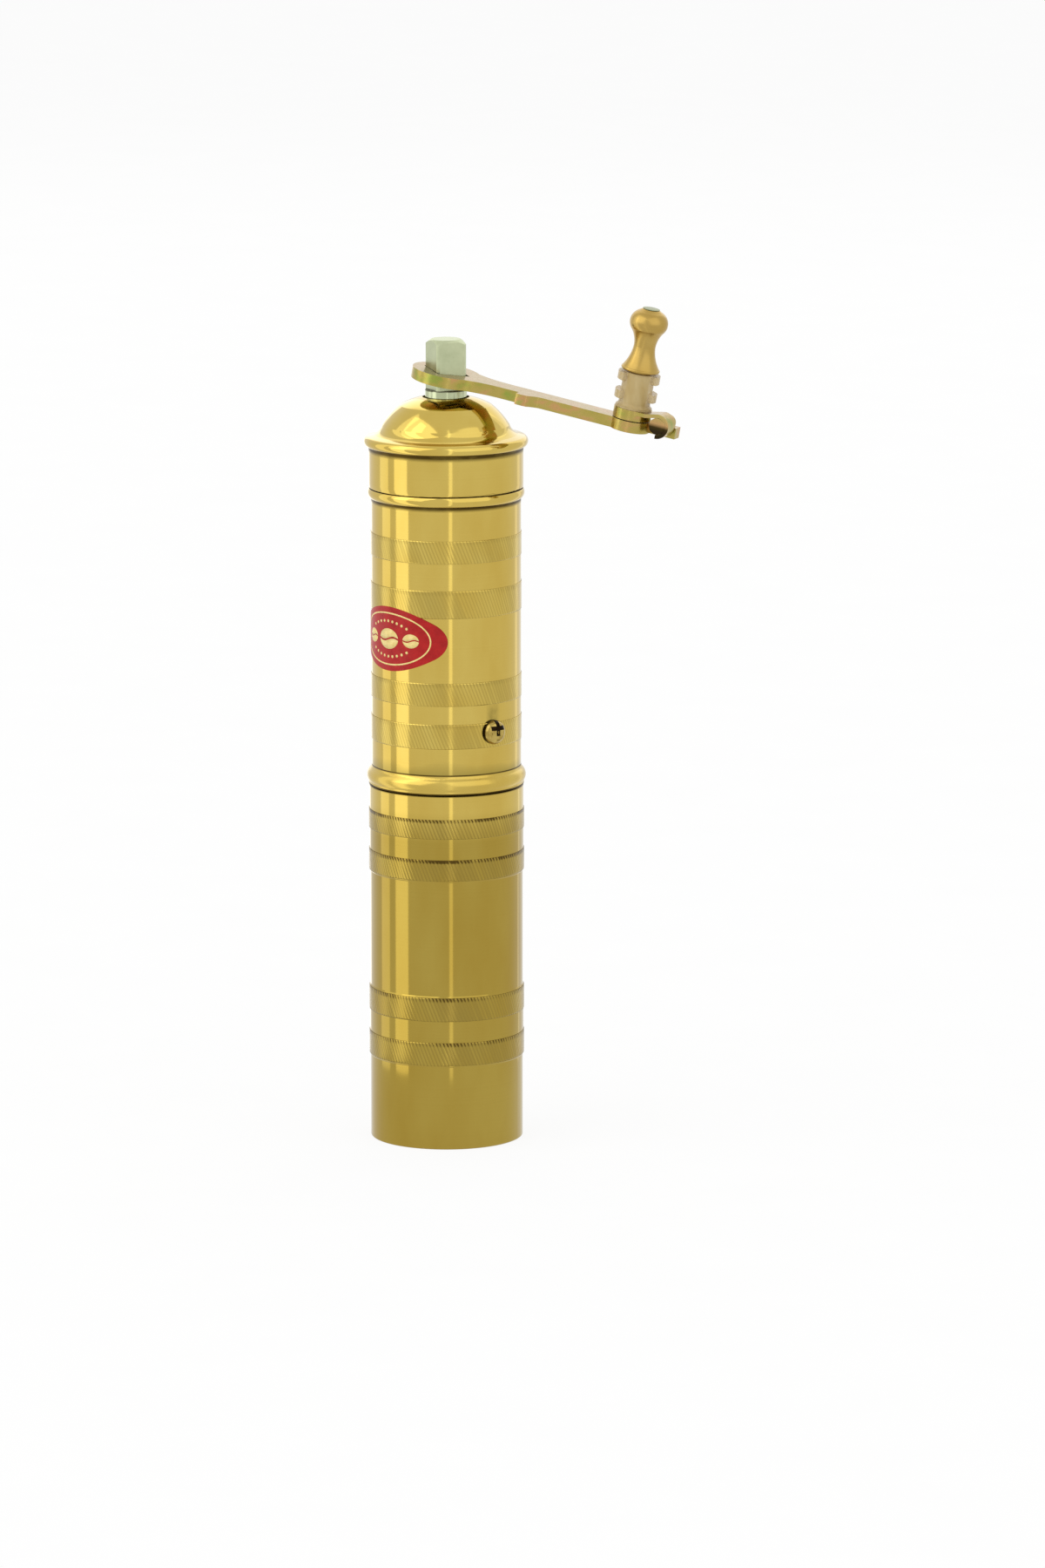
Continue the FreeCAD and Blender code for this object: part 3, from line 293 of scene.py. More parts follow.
def make_polished_brass():
    """Drawn brass: faint rings, cloudy tarnish, grime and painted shade in corners, painted shade on
    the cup, over the bead and the screws, duller inside the mill.
    """
    material, graph = new_material("polished_brass")
    place = graph.place()
    level = graph.dot(place, UP)
    lines = turned_lines(graph, place, level, 0.5)
    cloud = graph.noise(graph.stretch(place, (70.0, 70.0, 26.0)), 1.0, detail=4.0)
    clean = graph.ramp(cloud, ((0.32, (0.54, 0.38, 0.077)), (0.68, (0.60, 0.45, 0.11))))
    drawn = graph.blend(graph.spread(lines, 0.3, 0.7, 0.0, 0.12), clean, (0.42, 0.29, 0.050))
    # Painted shade makes the cup darker and browner than the tube.
    cup_shaded = shade_cup(graph, level, drawn)
    # The streak over each screw is painted reflection and shadow of the screw, with some grease.
    screw_streak = screw_reflection_and_smear(graph, place, level)
    streaked = graph.blend(graph.math("MULTIPLY", screw_streak, 0.9), cup_shaded, (0.17, 0.14, 0.035))
    # Painted shade, olive, on the tube just above the bead: a painted reflection.
    shade = graph.math("MULTIPLY", shade_over_bead(graph, place, level), 0.55)
    shaded = graph.blend(shade, streaked, (0.24, 0.19, 0.045))
    inside = inside_of_mill(graph, place)
    outside = graph.math("SUBTRACT", 1.0, inside)
    # Grime and painted shade darken the corners, on the outside of the mill only.
    dark_lines = graph.math("MULTIPLY", soil_and_shade_in_corners(graph, place, level), outside)
    with_dark_lines = graph.blend(dark_lines, shaded, (0.040, 0.021, 0.003))
    colour = graph.blend(graph.math("MULTIPLY", inside, 0.8), with_dark_lines, (0.31, 0.22, 0.065))
    smooth = graph.math("ADD", graph.spread(cloud, 0.3, 0.7, 0.06, 0.09), dull_bead(graph, level))
    worn = graph.math("ADD", smooth, graph.spread(lines, 0.35, 0.75, 0.0, 0.035))
    dulled = graph.math("MAXIMUM", graph.math("MAXIMUM", dark_lines, screw_streak), inside)
    roughness = graph.math("ADD", worn, graph.math("MULTIPLY", dulled, 0.3))
    normal = graph.bump(lines, 0.05, 0.02 * MM)
    graph.close(colour, roughness, normal, {"Metallic": graph.spread(inside, 0.0, 1.0, 1.0, 0.35)})
    return material


def make_knurled_brass():
    """The same brass under a knurling wheel: bright ridges, and grooves and nicks darkened by grime and
    painted shade.
    """
    material, graph = new_material("knurled_brass")
    place = graph.place()
    groove = graph.add("ShaderNodeAttribute", attribute_name="groove").outputs["Fac"]
    cloud = graph.noise(graph.stretch(place, (120.0, 120.0, 60.0)), 1.0, detail=4.0)
    ridge = graph.ramp(cloud, ((0.3, (0.52, 0.37, 0.075)), (0.7, (0.59, 0.45, 0.11))))
    patchy = graph.spread(cloud, 0.3, 0.7, 0.5, 0.85)
    dulled = graph.math("MULTIPLY", graph.spread(groove, 0.2, 0.7), patchy)
    # Painted shade darkens the rings on the cup, as on the cup itself.
    cup_shaded = shade_cup(graph, graph.dot(place, UP), ridge)
    # Grooves, nicks and the ring's foot are darkened: grime and painted shade.
    grooves_darkened = graph.blend(dulled, cup_shaded, (0.27, 0.19, 0.04))
    colour = graph.blend(graph.spread(groove, 0.78, 1.0, 0.0, 0.92), grooves_darkened, (0.060, 0.034, 0.007))
    roughness = graph.spread(groove, 0.0, 1.0, 0.10, 0.26)
    normal = graph.bump(graph.noise(place, 2600.0, detail=2.0), 0.08, 0.02 * MM)
    graph.close(colour, roughness, normal, {"Metallic": 1.0})
    return material


def make_satin_brass():
    """The knob's brass, turned on its own slanted axis and left satin."""
    material, graph = new_material("satin_brass")
    place = graph.place()
    lines = turned_lines(graph, place, graph.dot(place, tuple(KNOB_AXIS)), 0.16)
    cloud = graph.noise(place, 160.0, detail=3.0)
    clean = graph.ramp(cloud, ((0.3, (0.44, 0.29, 0.073)), (0.7, (0.49, 0.34, 0.10))))
    colour = graph.blend(graph.spread(lines, 0.3, 0.7, 0.0, 0.25), clean, (0.32, 0.20, 0.040))
    roughness = graph.spread(lines, 0.25, 0.75, 0.25, 0.34)
    normal = graph.bump(lines, 0.12, 0.02 * MM)
    graph.close(colour, roughness, normal, {"Metallic": 1.0})
    return material


def make_aged_brass():
    """Screws: dulled brass plate, with painted shade in the cross recess and under the rim of the head.
    """
    material, graph = new_material("aged_brass")
    place = graph.place()
    outward = graph.math("ABSOLUTE", graph.dot(place, SCREW_OUTWARD))
    rim = soft_edge(graph, outward, (SCREW_RIM, SCREW_RIM + 0.5), 0.95, 0.0)
    across = graph.dot(place, SCREW_ACROSS)
    above = graph.math("SUBTRACT", graph.dot(place, UP), SCREW_LEVEL * MM)
    cross = None
    for aside, along in ((across, above), (above, across)):
        narrow = soft_edge(graph, graph.math("ABSOLUTE", aside), CROSS_HALF_WIDTH, 1.0, 0.0)
        short = soft_edge(graph, graph.math("ABSOLUTE", along), CROSS_HALF_LENGTH, 1.0, 0.0)
        arm = graph.math("MULTIPLY", narrow, short)
        cross = arm if cross is None else graph.math("MAXIMUM", cross, arm)
    spots = graph.noise(place, 500.0, detail=3.0)
    plate = graph.ramp(spots, ((0.3, (0.32, 0.22, 0.049)), (0.7, (0.52, 0.39, 0.11))))
    # The cross recess and the rim under the head are painted near black: painted shade.
    colour = graph.blend(graph.math("MAXIMUM", rim, cross), plate, (0.014, 0.008, 0.003))
    roughness = graph.spread(spots, 0.3, 0.7, 0.20, 0.10)
    normal = graph.bump(spots, 0.05, 0.03 * MM)
    graph.close(colour, roughness, normal, {"Metallic": 1.0})
    return material


def zinc_plate(graph, place):
    """Give the colour, roughness and height of clear zinc plate: satin, with small dark pits."""
    cloud = graph.noise(place, 230.0, detail=5.0, roughness=0.6)
    plate = graph.ramp(cloud, ((0.3, (0.42, 0.46, 0.28)), (0.7, (0.52, 0.56, 0.36))))
    pitted = graph.spread(graph.noise(place, 1500.0, detail=2.0, roughness=0.7), 0.70, 0.76)
    colour = graph.blend(pitted, plate, (0.10, 0.090, 0.045))
    roughness = graph.spread(cloud, 0.3, 0.7, 0.28, 0.42)
    return colour, roughness, graph.math("SUBTRACT", cloud, pitted)


def make_zinc_steel():
    """Clear zinc plate of the washer and the rivet, gone grey with handling."""
    material, graph = new_material("zinc_steel")
    plate, roughness, height = zinc_plate(graph, graph.place())
    colour = graph.blend(0.9, plate, (0.46, 0.46, 0.38), "MULTIPLY")
    normal = graph.bump(height, 0.2, 0.04 * MM)
    graph.close(colour, roughness, normal, {"Metallic": 1.0})
    return material


def make_spindle_steel():
    """Clear zinc plate of the spindle, rubbed bright on the round bar, under a dark line of painted
    shadow in the step to the square.
    """
    material, graph = new_material("spindle_steel")
    place = graph.place()
    plate, satin, height = zinc_plate(graph, place)
    level = graph.dot(place, UP)
    above = graph.math("SUBTRACT", level, SQUARE_LEVEL * MM)
    # A dark line where the round bar meets the square: painted shadow, broken unevenly.
    dark_lines = graph.spread(graph.math("ABSOLUTE", above), 0.1 * MM, 0.28 * MM, 0.85, 0.0)
    ticks = graph.noise(graph.stretch(place, (520.0, 520.0, 60.0)), 1.0, detail=2.0)
    rubbed = graph.spread(above, -0.1 * MM, 0.0, 1.0, 0.0)
    ticked = graph.math("MULTIPLY", rubbed, graph.spread(ticks, 0.62, 0.7, 0.0, 0.6))
    broken = graph.math("MULTIPLY", dark_lines, graph.spread(ticks, 0.3, 0.5, 0.3, 1.0))
    dark = graph.math("MAXIMUM", ticked, broken)
    colour = graph.blend(dark, plate, (0.07, 0.06, 0.04))
    roughness = graph.math("SUBTRACT", satin, graph.math("MULTIPLY", rubbed, 0.18))
    normal = graph.bump(height, 0.2, 0.04 * MM)
    graph.close(colour, roughness, normal, {"Metallic": 1.0})
    return material


# Tints of the yellow chromate, and the painted shade and reflection on the front of the hinge, black at
# its lowest point and rosy higher up.
CHROMATE_TINTS = (
    (0.28, (0.28, 0.32, 0.060)),
    (0.42, (0.40, 0.32, 0.078)),
    (0.54, (0.43, 0.33, 0.092)),
    (0.64, (0.52, 0.29, 0.12)),
    (0.76, (0.34, 0.36, 0.083)),
)
HINGE_FRONT_SHADE = (
    (0.0, (0.007, 0.006, 0.004)),
    (0.25, (0.030, 0.018, 0.006)),
    (0.5, (0.48, 0.29, 0.12)),
    (1.0, (0.44, 0.35, 0.11)),
)
HINGE_FRONT_SHADE_REACH = (-1.4, 3.0)
HINGE_START = (63.0, 63.4)


def front_of_hinge(graph, place, facing):
    """Give the share of the hook's and the pin's front ends, at the crank's tip."""
    outward = soft_edge(graph, graph.dot(place, (1.0, 0.0, 0.0)), HINGE_START)
    frontal = soft_edge(graph, graph.dot(place, (0.0, 1.0, 0.0)), (0.0, 1.0), 1.0, 0.0)
    turned = graph.spread(graph.dot(facing, (0.0, -1.0, 0.0)), 0.2, 0.5)
    return graph.math("MULTIPLY", graph.math("MULTIPLY", outward, frontal), turned)


def make_chromate_steel():
    """Yellow chromate on zinc plate: gold to olive, with rose and green tints, rosy tops of painted
    reflection, and painted shade and reflection on the hinge's front.
    """
    material, graph = new_material("chromate_steel")
    place = graph.place()
    patch = graph.noise(graph.stretch(place, (130.0, 220.0, 220.0)), 1.0, detail=3.0)
    tint = graph.ramp(patch, CHROMATE_TINTS)
    facing = graph.add("ShaderNodeNewGeometry").outputs["Normal"]
    # Faces turned up along the knob's axis are painted rosy: a painted reflection.
    upward = graph.spread(graph.dot(facing, tuple(KNOB_AXIS)), 0.6, 0.95, 0.0, 0.7)
    rosy = graph.blend(upward, tint, (0.30, 0.20, 0.09))
    front = front_of_hinge(graph, place, facing)
    height = graph.dot(place, tuple(KNOB_AXIS))
    above = graph.math("SUBTRACT", height, HINGE.dot(KNOB_AXIS) * MM)
    # The hinge's front is painted black below and rosy above: painted shade and reflection.
    hinge_shaded = graph.ramp(soft_edge(graph, above, HINGE_FRONT_SHADE_REACH), HINGE_FRONT_SHADE)
    tipped = graph.blend(graph.math("MULTIPLY", front, 0.95), rosy, hinge_shaded)
    grain = graph.noise(place, 900.0, detail=4.0, roughness=0.65)
    colour = graph.blend(graph.spread(grain, 0.62, 0.74, 0.0, 0.35), tipped, (0.22, 0.17, 0.046))
    roughness = graph.spread(grain, 0.3, 0.7, 0.20, 0.32)
    normal = graph.bump(grain, 0.06, 0.05 * MM)
    graph.close(colour, roughness, normal, {"Metallic": 1.0})
    return material


def make_dark_steel():
    """Oiled black steel, worn to grey in places."""
    material, graph = new_material("dark_steel")
    place = graph.place()
    wear = graph.noise(place, 700.0, detail=4.0, roughness=0.6)
    colour = graph.ramp(wear, ((0.45, (0.10, 0.095, 0.08)), (0.72, (0.30, 0.28, 0.23))))
    roughness = graph.spread(wear, 0.3, 0.7, 0.46, 0.28)
    normal = graph.bump(wear, 0.15, 0.03 * MM)
    graph.close(colour, roughness, normal, {"Metallic": 1.0})
    return material


def make_burr_iron():
    """Hardened iron of the burrs, grey and finely ground."""
    material, graph = new_material("burr_iron")
    place = graph.place()
    grain = graph.noise(graph.stretch(place, (1400.0, 1400.0, 240.0)), 1.0, detail=3.0)
    stain = graph.noise(place, 120.0, detail=4.0)
    steel = graph.ramp(grain, ((0.3, (0.20, 0.20, 0.205)), (0.7, (0.38, 0.375, 0.37))))
    colour = graph.blend(graph.spread(stain, 0.55, 0.75, 0.0, 0.5), steel, (0.17, 0.13, 0.10))
    roughness = graph.spread(grain, 0.3, 0.7, 0.34, 0.5)
    normal = graph.bump(grain, 0.2, 0.04 * MM)
    graph.close(colour, roughness, normal, {"Metallic": 1.0})
    return material


def make_bearing_bronze():
    """Sintered bronze of the bushes, with open pores."""
    material, graph = new_material("bearing_bronze")
    place = graph.place()
    pores = graph.noise(place, 2400.0, detail=3.0, roughness=0.7)
    stops = ((0.38, (0.24, 0.13, 0.05)), (0.55, (0.58, 0.36, 0.16)), (0.75, (0.70, 0.46, 0.22)))
    colour = graph.ramp(pores, stops)
    roughness = graph.spread(pores, 0.3, 0.7, 0.6, 0.36)
    normal = graph.bump(pores, 0.3, 0.04 * MM)
    graph.close(colour, roughness, normal, {"Metallic": 1.0})
    return material


def make_nylon():
    """Milky nylon, thin enough for the brass shank to show through."""
    material, graph = new_material("nylon")
    place = graph.place()
    cloud = graph.noise(graph.stretch(place, (260.0, 260.0, 90.0)), 1.0, detail=3.0)
    colour = graph.ramp(cloud, ((0.3, (0.50, 0.35, 0.12)), (0.7, (0.64, 0.50, 0.25))))
    roughness = graph.spread(cloud, 0.3, 0.7, 0.26, 0.38)
    normal = graph.bump(graph.noise(place, 500.0, detail=2.0), 0.04, 0.05 * MM)
    graph.close(colour, roughness, normal, {"Alpha": 0.76, "Specular IOR Level": 0.3})
    return material


def make_label_film():
    """Glossy red film, with a faint mottle in its ink."""
    material, graph = new_material("label_film")
    place = graph.place()
    mottle = graph.noise(place, 420.0, detail=4.0, roughness=0.6)
    colour = graph.ramp(mottle, ((0.3, (0.33, 0.008, 0.009)), (0.7, (0.45, 0.015, 0.014))))
    roughness = graph.spread(mottle, 0.3, 0.7, 0.26, 0.36)
    normal = graph.bump(graph.noise(place, 160.0), 0.05, 0.1 * MM)
    graph.close(colour, roughness, normal, {"Specular IOR Level": 0.18})
    return material


def make_label_ink():
    """Pale gold ink of the label's ornament."""
    material, graph = new_material("label_ink")
    place = graph.place()
    mottle = graph.noise(place, 800.0, detail=3.0)
    colour = graph.ramp(mottle, ((0.3, (0.72, 0.54, 0.16)), (0.7, (0.86, 0.70, 0.28))))
    roughness = graph.spread(mottle, 0.3, 0.7, 0.3, 0.42)
    normal = graph.bump(mottle, 0.05, 0.02 * MM)
    graph.close(colour, roughness, normal, {"Specular IOR Level": 0.4})
    return material


def background_rays(graph):
    """Give 1 for the rays that show the background: from the camera, off metal and through glass."""
    rays = graph.add("ShaderNodeLightPath").outputs
    mirrored = graph.math("MAXIMUM", rays["Is Glossy Ray"], rays["Is Transmission Ray"])
    return graph.math("MAXIMUM", rays["Is Camera Ray"], mirrored)


# How far the paper is white by itself to those rays. The rest is lit, and keeps the mill's shadow.
PAPER_GLOW = 0.88


def make_floor_paper():
    """White paper that stays white in the picture and keeps the mill's shadow."""
    material, graph = new_material("floor_paper")
    fibre = graph.noise(graph.place(), 30.0, detail=3.0)
    colour = graph.ramp(fibre, ((0.3, (0.88, 0.88, 0.87)), (0.7, (0.92, 0.92, 0.91))))
    paper = graph.add("ShaderNodeBsdfDiffuse")
    graph.feed(paper.inputs["Color"], colour)
    glow = graph.add("ShaderNodeEmission")
    graph.feed(glow.inputs["Color"], (1.0, 1.0, 1.0))
    shown = graph.math("MULTIPLY", background_rays(graph), PAPER_GLOW)
    output = graph.add("ShaderNodeOutputMaterial")
    both = graph.mix_shaders(shown, paper.outputs[0], glow.outputs[0])
    graph.feed(output.inputs["Surface"], both)
    return material


def mesh_piece(name, points, faces, material, body):
    """Make a smooth mesh from points in millimetres, and let it ride on a body."""
    mesh = bpy.data.meshes.new(name)
    mesh.from_pydata([tuple(c * MM for c in point) for point in points], [], faces)
    mesh.materials.append(material)
    mesh.shade_smooth()
    piece = bpy.data.objects.new(name, mesh)
    bpy.context.scene.collection.objects.link(piece)
    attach(piece, body)
    return piece


def ring_faces(rows, columns):
    """Give the quads of a closed tube: rows of points round an axis, the last joined to the first."""
    faces = []
    for row in range(rows):
        here = row * columns
        after = (row + 1) % rows * columns
        for column in range(columns):
            beside = (column + 1) % columns
            faces.append((here + column, here + beside, after + beside, after + column))
    return faces


def round_axis(reach, angle, level):
    """Give the point at a distance from the mill's axis, at an angle and a level."""
    return (reach * math.cos(angle), reach * math.sin(angle), level)


# One stroke of the knurling, sampled across: 0 is the bottom of a groove, 1 the top of a ridge.
STROKE = (0.0, 0.62, 1.0, 0.85)
STROKE_COUNT = 138
STROKE_LEAN = 0.40
# Rows of points up a band, as shares of its height, and the shares that its edges and its nicks take.
KNURL_ROWS = (0.0, 0.05, 0.13, 0.4, 0.65, 0.8, 0.87, 0.95, 1.0)
EDGE_SHARE = 0.13
NICK_SHARE = 0.2
# How much of the depth goes at the edges, how much of the dip is kept there, and how much of a nick
# still shows on a ridge.
EDGE_FLATTENING = 0.7
EDGE_DIP = 0.9
NICK_ON_RIDGE = 0.35
# How far the ring's foot stands inside the band, in millimetres, and how dull and dark it is: painted
# shade.
KNURL_INSET = 0.06
FOOT_DULLNESS = 0.9
SWELL_COUNT = 5

# How the bands are knurled: depth of the strokes and dip of the edges in millimetres, then how dull and
# dark the grooves are, with grime and painted shade, and how dark the nicks along the upper edge are,
# painted shade.
DEEP_KNURL = {"depth": 0.07, "dip": 0.05, "dull": 0.85, "nick": 1.9}
PLAIN_KNURL = {"depth": 0.06, "dip": 0.05, "dull": 0.80, "nick": 0.9}
FINE_KNURL = {"depth": 0.017, "dip": 0.02, "dull": 0.55, "nick": 0.3}


def stroke_weights(rng, least, most):
    """Give each stroke its own weight, rising and falling in slow swells round the ring."""
    swells = []
    for _ in range(SWELL_COUNT):
        swells.append((rng.uniform(0, math.tau), rng.randint(2, 9), rng.uniform(0.08, 0.2)))
    middle = 0.5 * (least + most)
    weights = []
    for stroke in range(STROKE_COUNT):
        angle = math.tau * stroke / STROKE_COUNT
        swell = sum(size * math.sin(waves * angle + phase) for phase, waves, size in swells)
        weights.append(min(most, max(least, middle + swell + rng.uniform(-0.18, 0.18))))
    return weights


def knurl_row(share, style, weights, nicks):
    """Give the lift of each point of a row at a share of a band's height, and its dullness and darkness
    of grime and painted shade.
    """
    near_edge = max(0.0, 1.0 - min(share, 1.0 - share) / EDGE_SHARE)
    near_top = math.sqrt(max(0.0, 1.0 - (1.0 - share) / NICK_SHARE))
    row = []
    for weight, nicked in zip(weights, nicks):
        for height in STROKE:
            hollow = 1.0 - height
            rise = height * weight
            dip = EDGE_DIP * style["dip"] * near_edge * hollow
            lift = style["depth"] * rise * (1.0 - EDGE_FLATTENING * near_edge) - dip
            nick = style["nick"] * near_top * nicked * min(1.0, NICK_ON_RIDGE + hollow)
            row.append((lift, min(1.0, style["dull"] * (1.0 - rise) + nick)))
    return row


def make_knurl(name, body, band, radius, style, material, seed):
    """A thin knurled ring over a raised band: slanted strokes of uneven depth, with dark nicks of
    painted shade along its upper edge.
    """
    rng = random.Random(seed)
    low, high = band
    weights = stroke_weights(rng, 0.25, 1.0)
    nicks = stroke_weights(rng, 0.3, 1.0)
    columns = STROKE_COUNT * len(STROKE)
    lean = STROKE_LEAN * (high - low) / radius
    points = []
    grooves = []
    for share in KNURL_ROWS:
        for column, (lift, dull) in enumerate(knurl_row(share, style, weights, nicks)):
            angle = math.tau * column / columns - lean * (share - 0.5)
            points.append(round_axis(radius + style["dip"] + lift, angle, low + share * (high - low)))
            grooves.append(dull)
    for level, shift in ((high, 0.5), (low, -0.5)):
        for column in range(columns):
            angle = math.tau * column / columns - lean * shift
            points.append(round_axis(radius - KNURL_INSET, angle, level))
            grooves.append(FOOT_DULLNESS)
    faces = ring_faces(len(KNURL_ROWS) + 2, columns)
    piece = mesh_piece(name, points, faces, material, body)
    layer = piece.data.attributes.new("groove", "FLOAT", "POINT")
    layer.data.foreach_set("value", grooves)


SKIRT_COLUMNS = 288
SKIRT_SEED = 11
# Where the skirt's cut edge is most ragged, in degrees to the right of the camera, and how widely.
RAGGED_TURN = 38.0
RAGGED_SPREAD = 36.0
# The skirt's section: reach, height over its foot, and how far the ragged edge moves the point.
SKIRT_SECTION = (
    (SKIRT_BORE, 0.05, 1.0),
    (SKIRT_RADIUS - 0.22, 0.0, 1.0),
    (SKIRT_RADIUS - 0.06, 0.07, 1.0),
    (SKIRT_RADIUS, 0.24, 1.0),
    (SKIRT_RADIUS, 1.6, 0.0),
    (SKIRT_RADIUS, SKIRT_TOP - SKIRT_FOOT, 0.0),
    (SKIRT_BORE, SKIRT_TOP - SKIRT_FOOT, 0.0),
)
SHARP_CORNER = math.radians(50.0)


def ragged_edge():
    """Give how far the skirt's lower edge is worn up at each column, in millimetres."""
    rng = random.Random(SKIRT_SEED)
    raw = [rng.uniform(-1.0, 1.0) for _ in range(SKIRT_COLUMNS)]
    ragged = []
    for column in range(SKIRT_COLUMNS):
        angle = math.tau * column / SKIRT_COLUMNS
        turn = (math.degrees(angle) + 90.0 - math.degrees(CAMERA_AZIMUTH) + 180.0) % 360.0 - 180.0
        worn = math.exp(-(((turn - RAGGED_TURN) / RAGGED_SPREAD) ** 2))
        near = (raw[column - 1] + raw[column] + raw[(column + 1) % SKIRT_COLUMNS]) / 3.0
        ragged.append(max(0.0, 0.02 + worn * (0.30 + 0.22 * near) + 0.03 * raw[column]))
    return ragged


def make_skirt(material):
    """The lid's skirt, whose cut lower edge is ragged, most of all to the right of the front."""
    ragged = ragged_edge()
    points = []
    for reach, rise, share in SKIRT_SECTION:
        for column in range(SKIRT_COLUMNS):
            angle = math.tau * column / SKIRT_COLUMNS
            points.append(round_axis(reach, angle, SKIRT_FOOT + rise + share * ragged[column]))
    faces = ring_faces(len(SKIRT_SECTION), SKIRT_COLUMNS)
    piece = mesh_piece("lid_skirt_shell", points, faces, material, "lid")
    piece.data.set_sharp_from_angle(angle=SHARP_CORNER)
    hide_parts("lid_skirt")


# The label's ornament, in millimetres from its middle: the oval line's inner and outer half sizes, the
# beans' places and sizes, and the dots' size, spacing, height over the middle and bow of their rows.
INK_HALF_THICKNESS = 0.03
OVAL_STEPS = 96
OVAL_INNER = (14.3, 7.3)
OVAL_OUTER = (14.75, 7.75)
BEANS = ((-8.3, 0.82), (0.0, 1.2), (8.3, 0.82))
BEAN_HALF_LENGTH = 3.3
BEAN_HALF_HEIGHT = 2.5
BEAN_STEPS = 20
SLIT_WAVE = 0.16
SLIT_HALF_WIDTH = 0.09
DOT_NUMBERS = range(-4, 5)
DOT_RADIUS = 0.42
DOT_SPACING = 1.75
DOT_ROW_HEIGHT = 5.2
DOT_ROW_BOW = 0.035
DOT_STEPS = 10


def on_label(across, up, reach):
    """Give the point of the label's face that lies across and up from its middle."""
    return round_axis(reach, LABEL_ANGLE + across / LABEL_FACE, LABEL_LEVEL + up)


def add_strip(points, faces, pairs, closed):
    """Add a thin strip of ink between two edges, given as pairs of places on the label."""
    start = len(points)
    for first, second in pairs:
        for across, up in (first, second):
            points.append(on_label(across, up, LABEL_FACE + INK_HALF_THICKNESS))
            points.append(on_label(across, up, LABEL_FACE - INK_HALF_THICKNESS))
    count = len(pairs)
    for step in range(count if closed else count - 1):
        a = start + 4 * step
        b = start + 4 * ((step + 1) % count)
        faces += [(a, b, b + 2, a + 2), (a + 1, a + 3, b + 3, b + 1)]
        faces += [(a, a + 1, b + 1, b), (a + 2, b + 2, b + 3, a + 3)]
    if not closed:
        last = start + 4 * (count - 1)
        faces += [(start, start + 2, start + 3, start + 1), (last, last + 1, last + 3, last + 2)]


def half_round(steps):
    """Give (place, height) pairs along half a circle, from one end to the other."""
    for step in range(steps + 1):
        along = math.cos(math.pi * (1.0 - step / steps))
        yield along, math.sqrt(max(0.0, 1.0 - along * along))


def oval_pairs():
    """Give the two edges of the thin oval line."""
    pairs = []
    for step in range(OVAL_STEPS):
        angle = math.tau * step / OVAL_STEPS
        edges = []
        for half_length, half_height in (OVAL_INNER, OVAL_OUTER):
            edges.append((half_length * math.cos(angle), half_height * math.sin(angle)))
        pairs.append(tuple(edges))
    return pairs


def bean_pairs(middle, half_length, half_height, side):
    """Give the two edges of one half of a coffee bean: its wavy slit and its round back."""
    pairs = []
    for along, height in half_round(BEAN_STEPS):
        wave = SLIT_WAVE * half_height * math.sin(math.pi * along)
        slit = wave + side * SLIT_HALF_WIDTH * half_height
        edge = side * half_height * height
        edge = max(edge, slit) if side > 0 else min(edge, slit)
        across = middle + half_length * along
        ends = ((across, slit), (across, edge))
        pairs.append(ends if side > 0 else ends[::-1])
    return pairs


def dot_pairs(number, side):
    """Give the lower and upper edges of one dot of the upper or lower row."""
    middle = number * DOT_SPACING
    up = side * (DOT_ROW_HEIGHT - DOT_ROW_BOW * middle * middle)
    pairs = []
    for along, height in half_round(DOT_STEPS):
        across = middle + DOT_RADIUS * along
        pairs.append(((across, up - DOT_RADIUS * height), (across, up + DOT_RADIUS * height)))
    return pairs


def make_label_print(material):
    """A plain ornament for the label: a thin oval line, three coffee beans and rows of dots."""
    points = []
    faces = []
    add_strip(points, faces, oval_pairs(), True)
    for middle, size in BEANS:
        for side in (1.0, -1.0):
            pairs = bean_pairs(middle, BEAN_HALF_LENGTH * size, BEAN_HALF_HEIGHT * size, side)
            add_strip(points, faces, pairs, False)
    for side in (1.0, -1.0):
        for number in DOT_NUMBERS:
            add_strip(points, faces, dot_pairs(number, side), False)
    mesh_piece("label_print", points, faces, material, "body")


def dress(node, material):
    """Give a CAD node its material."""
    for slot in NODES[node].material_slots:
        slot.material = material


# Edges that show rounded in the photograph: the width in millimetres and the least angle in degrees.
SOFT_EDGES = {
    "crank_arm": (0.35, 40.0),
    "knob_leaf": (0.25, 40.0),
    "hinge_pin": (0.6, 40.0),
    "spindle": (0.2, 30.0),
}
WELD_DISTANCE = 0.002


def soften_edges(node, width, angle):
    """Round a CAD node's edges, as they show bright in the photograph."""
    piece = NODES[node]
    weld = piece.modifiers.new("join", "WELD")
    weld.merge_threshold = WELD_DISTANCE * MM
    bevel = piece.modifiers.new("edges", "BEVEL")
    bevel.width = width * MM
    bevel.segments = 3
    bevel.limit_method = "ANGLE"
    bevel.angle_limit = math.radians(angle)
    bevel.use_clamp_overlap = True
    level = piece.modifiers.new("normals", "WEIGHTED_NORMAL")
    level.keep_sharp = False


# The knurled rings: name, body, bands, radius under the strokes and style.
KNURL_RINGS = (
    ("knurl_cup_low", "cup", LOW_CUP_BANDS, CUP_BAND_RADIUS, PLAIN_KNURL),
    ("knurl_cup_high", "cup", HIGH_CUP_BANDS, CUP_BAND_RADIUS, DEEP_KNURL),
    ("knurl_tube", "body", TUBE_BANDS, TUBE_BAND_RADIUS, FINE_KNURL),
)
SEEDS_PER_RING = 10
BRASS_NODES = (
    "cup_wall", "cup_base", "upper_tube", "lid_skirt", "lid_dome", "top_bridge", "adjusting_nut",
)


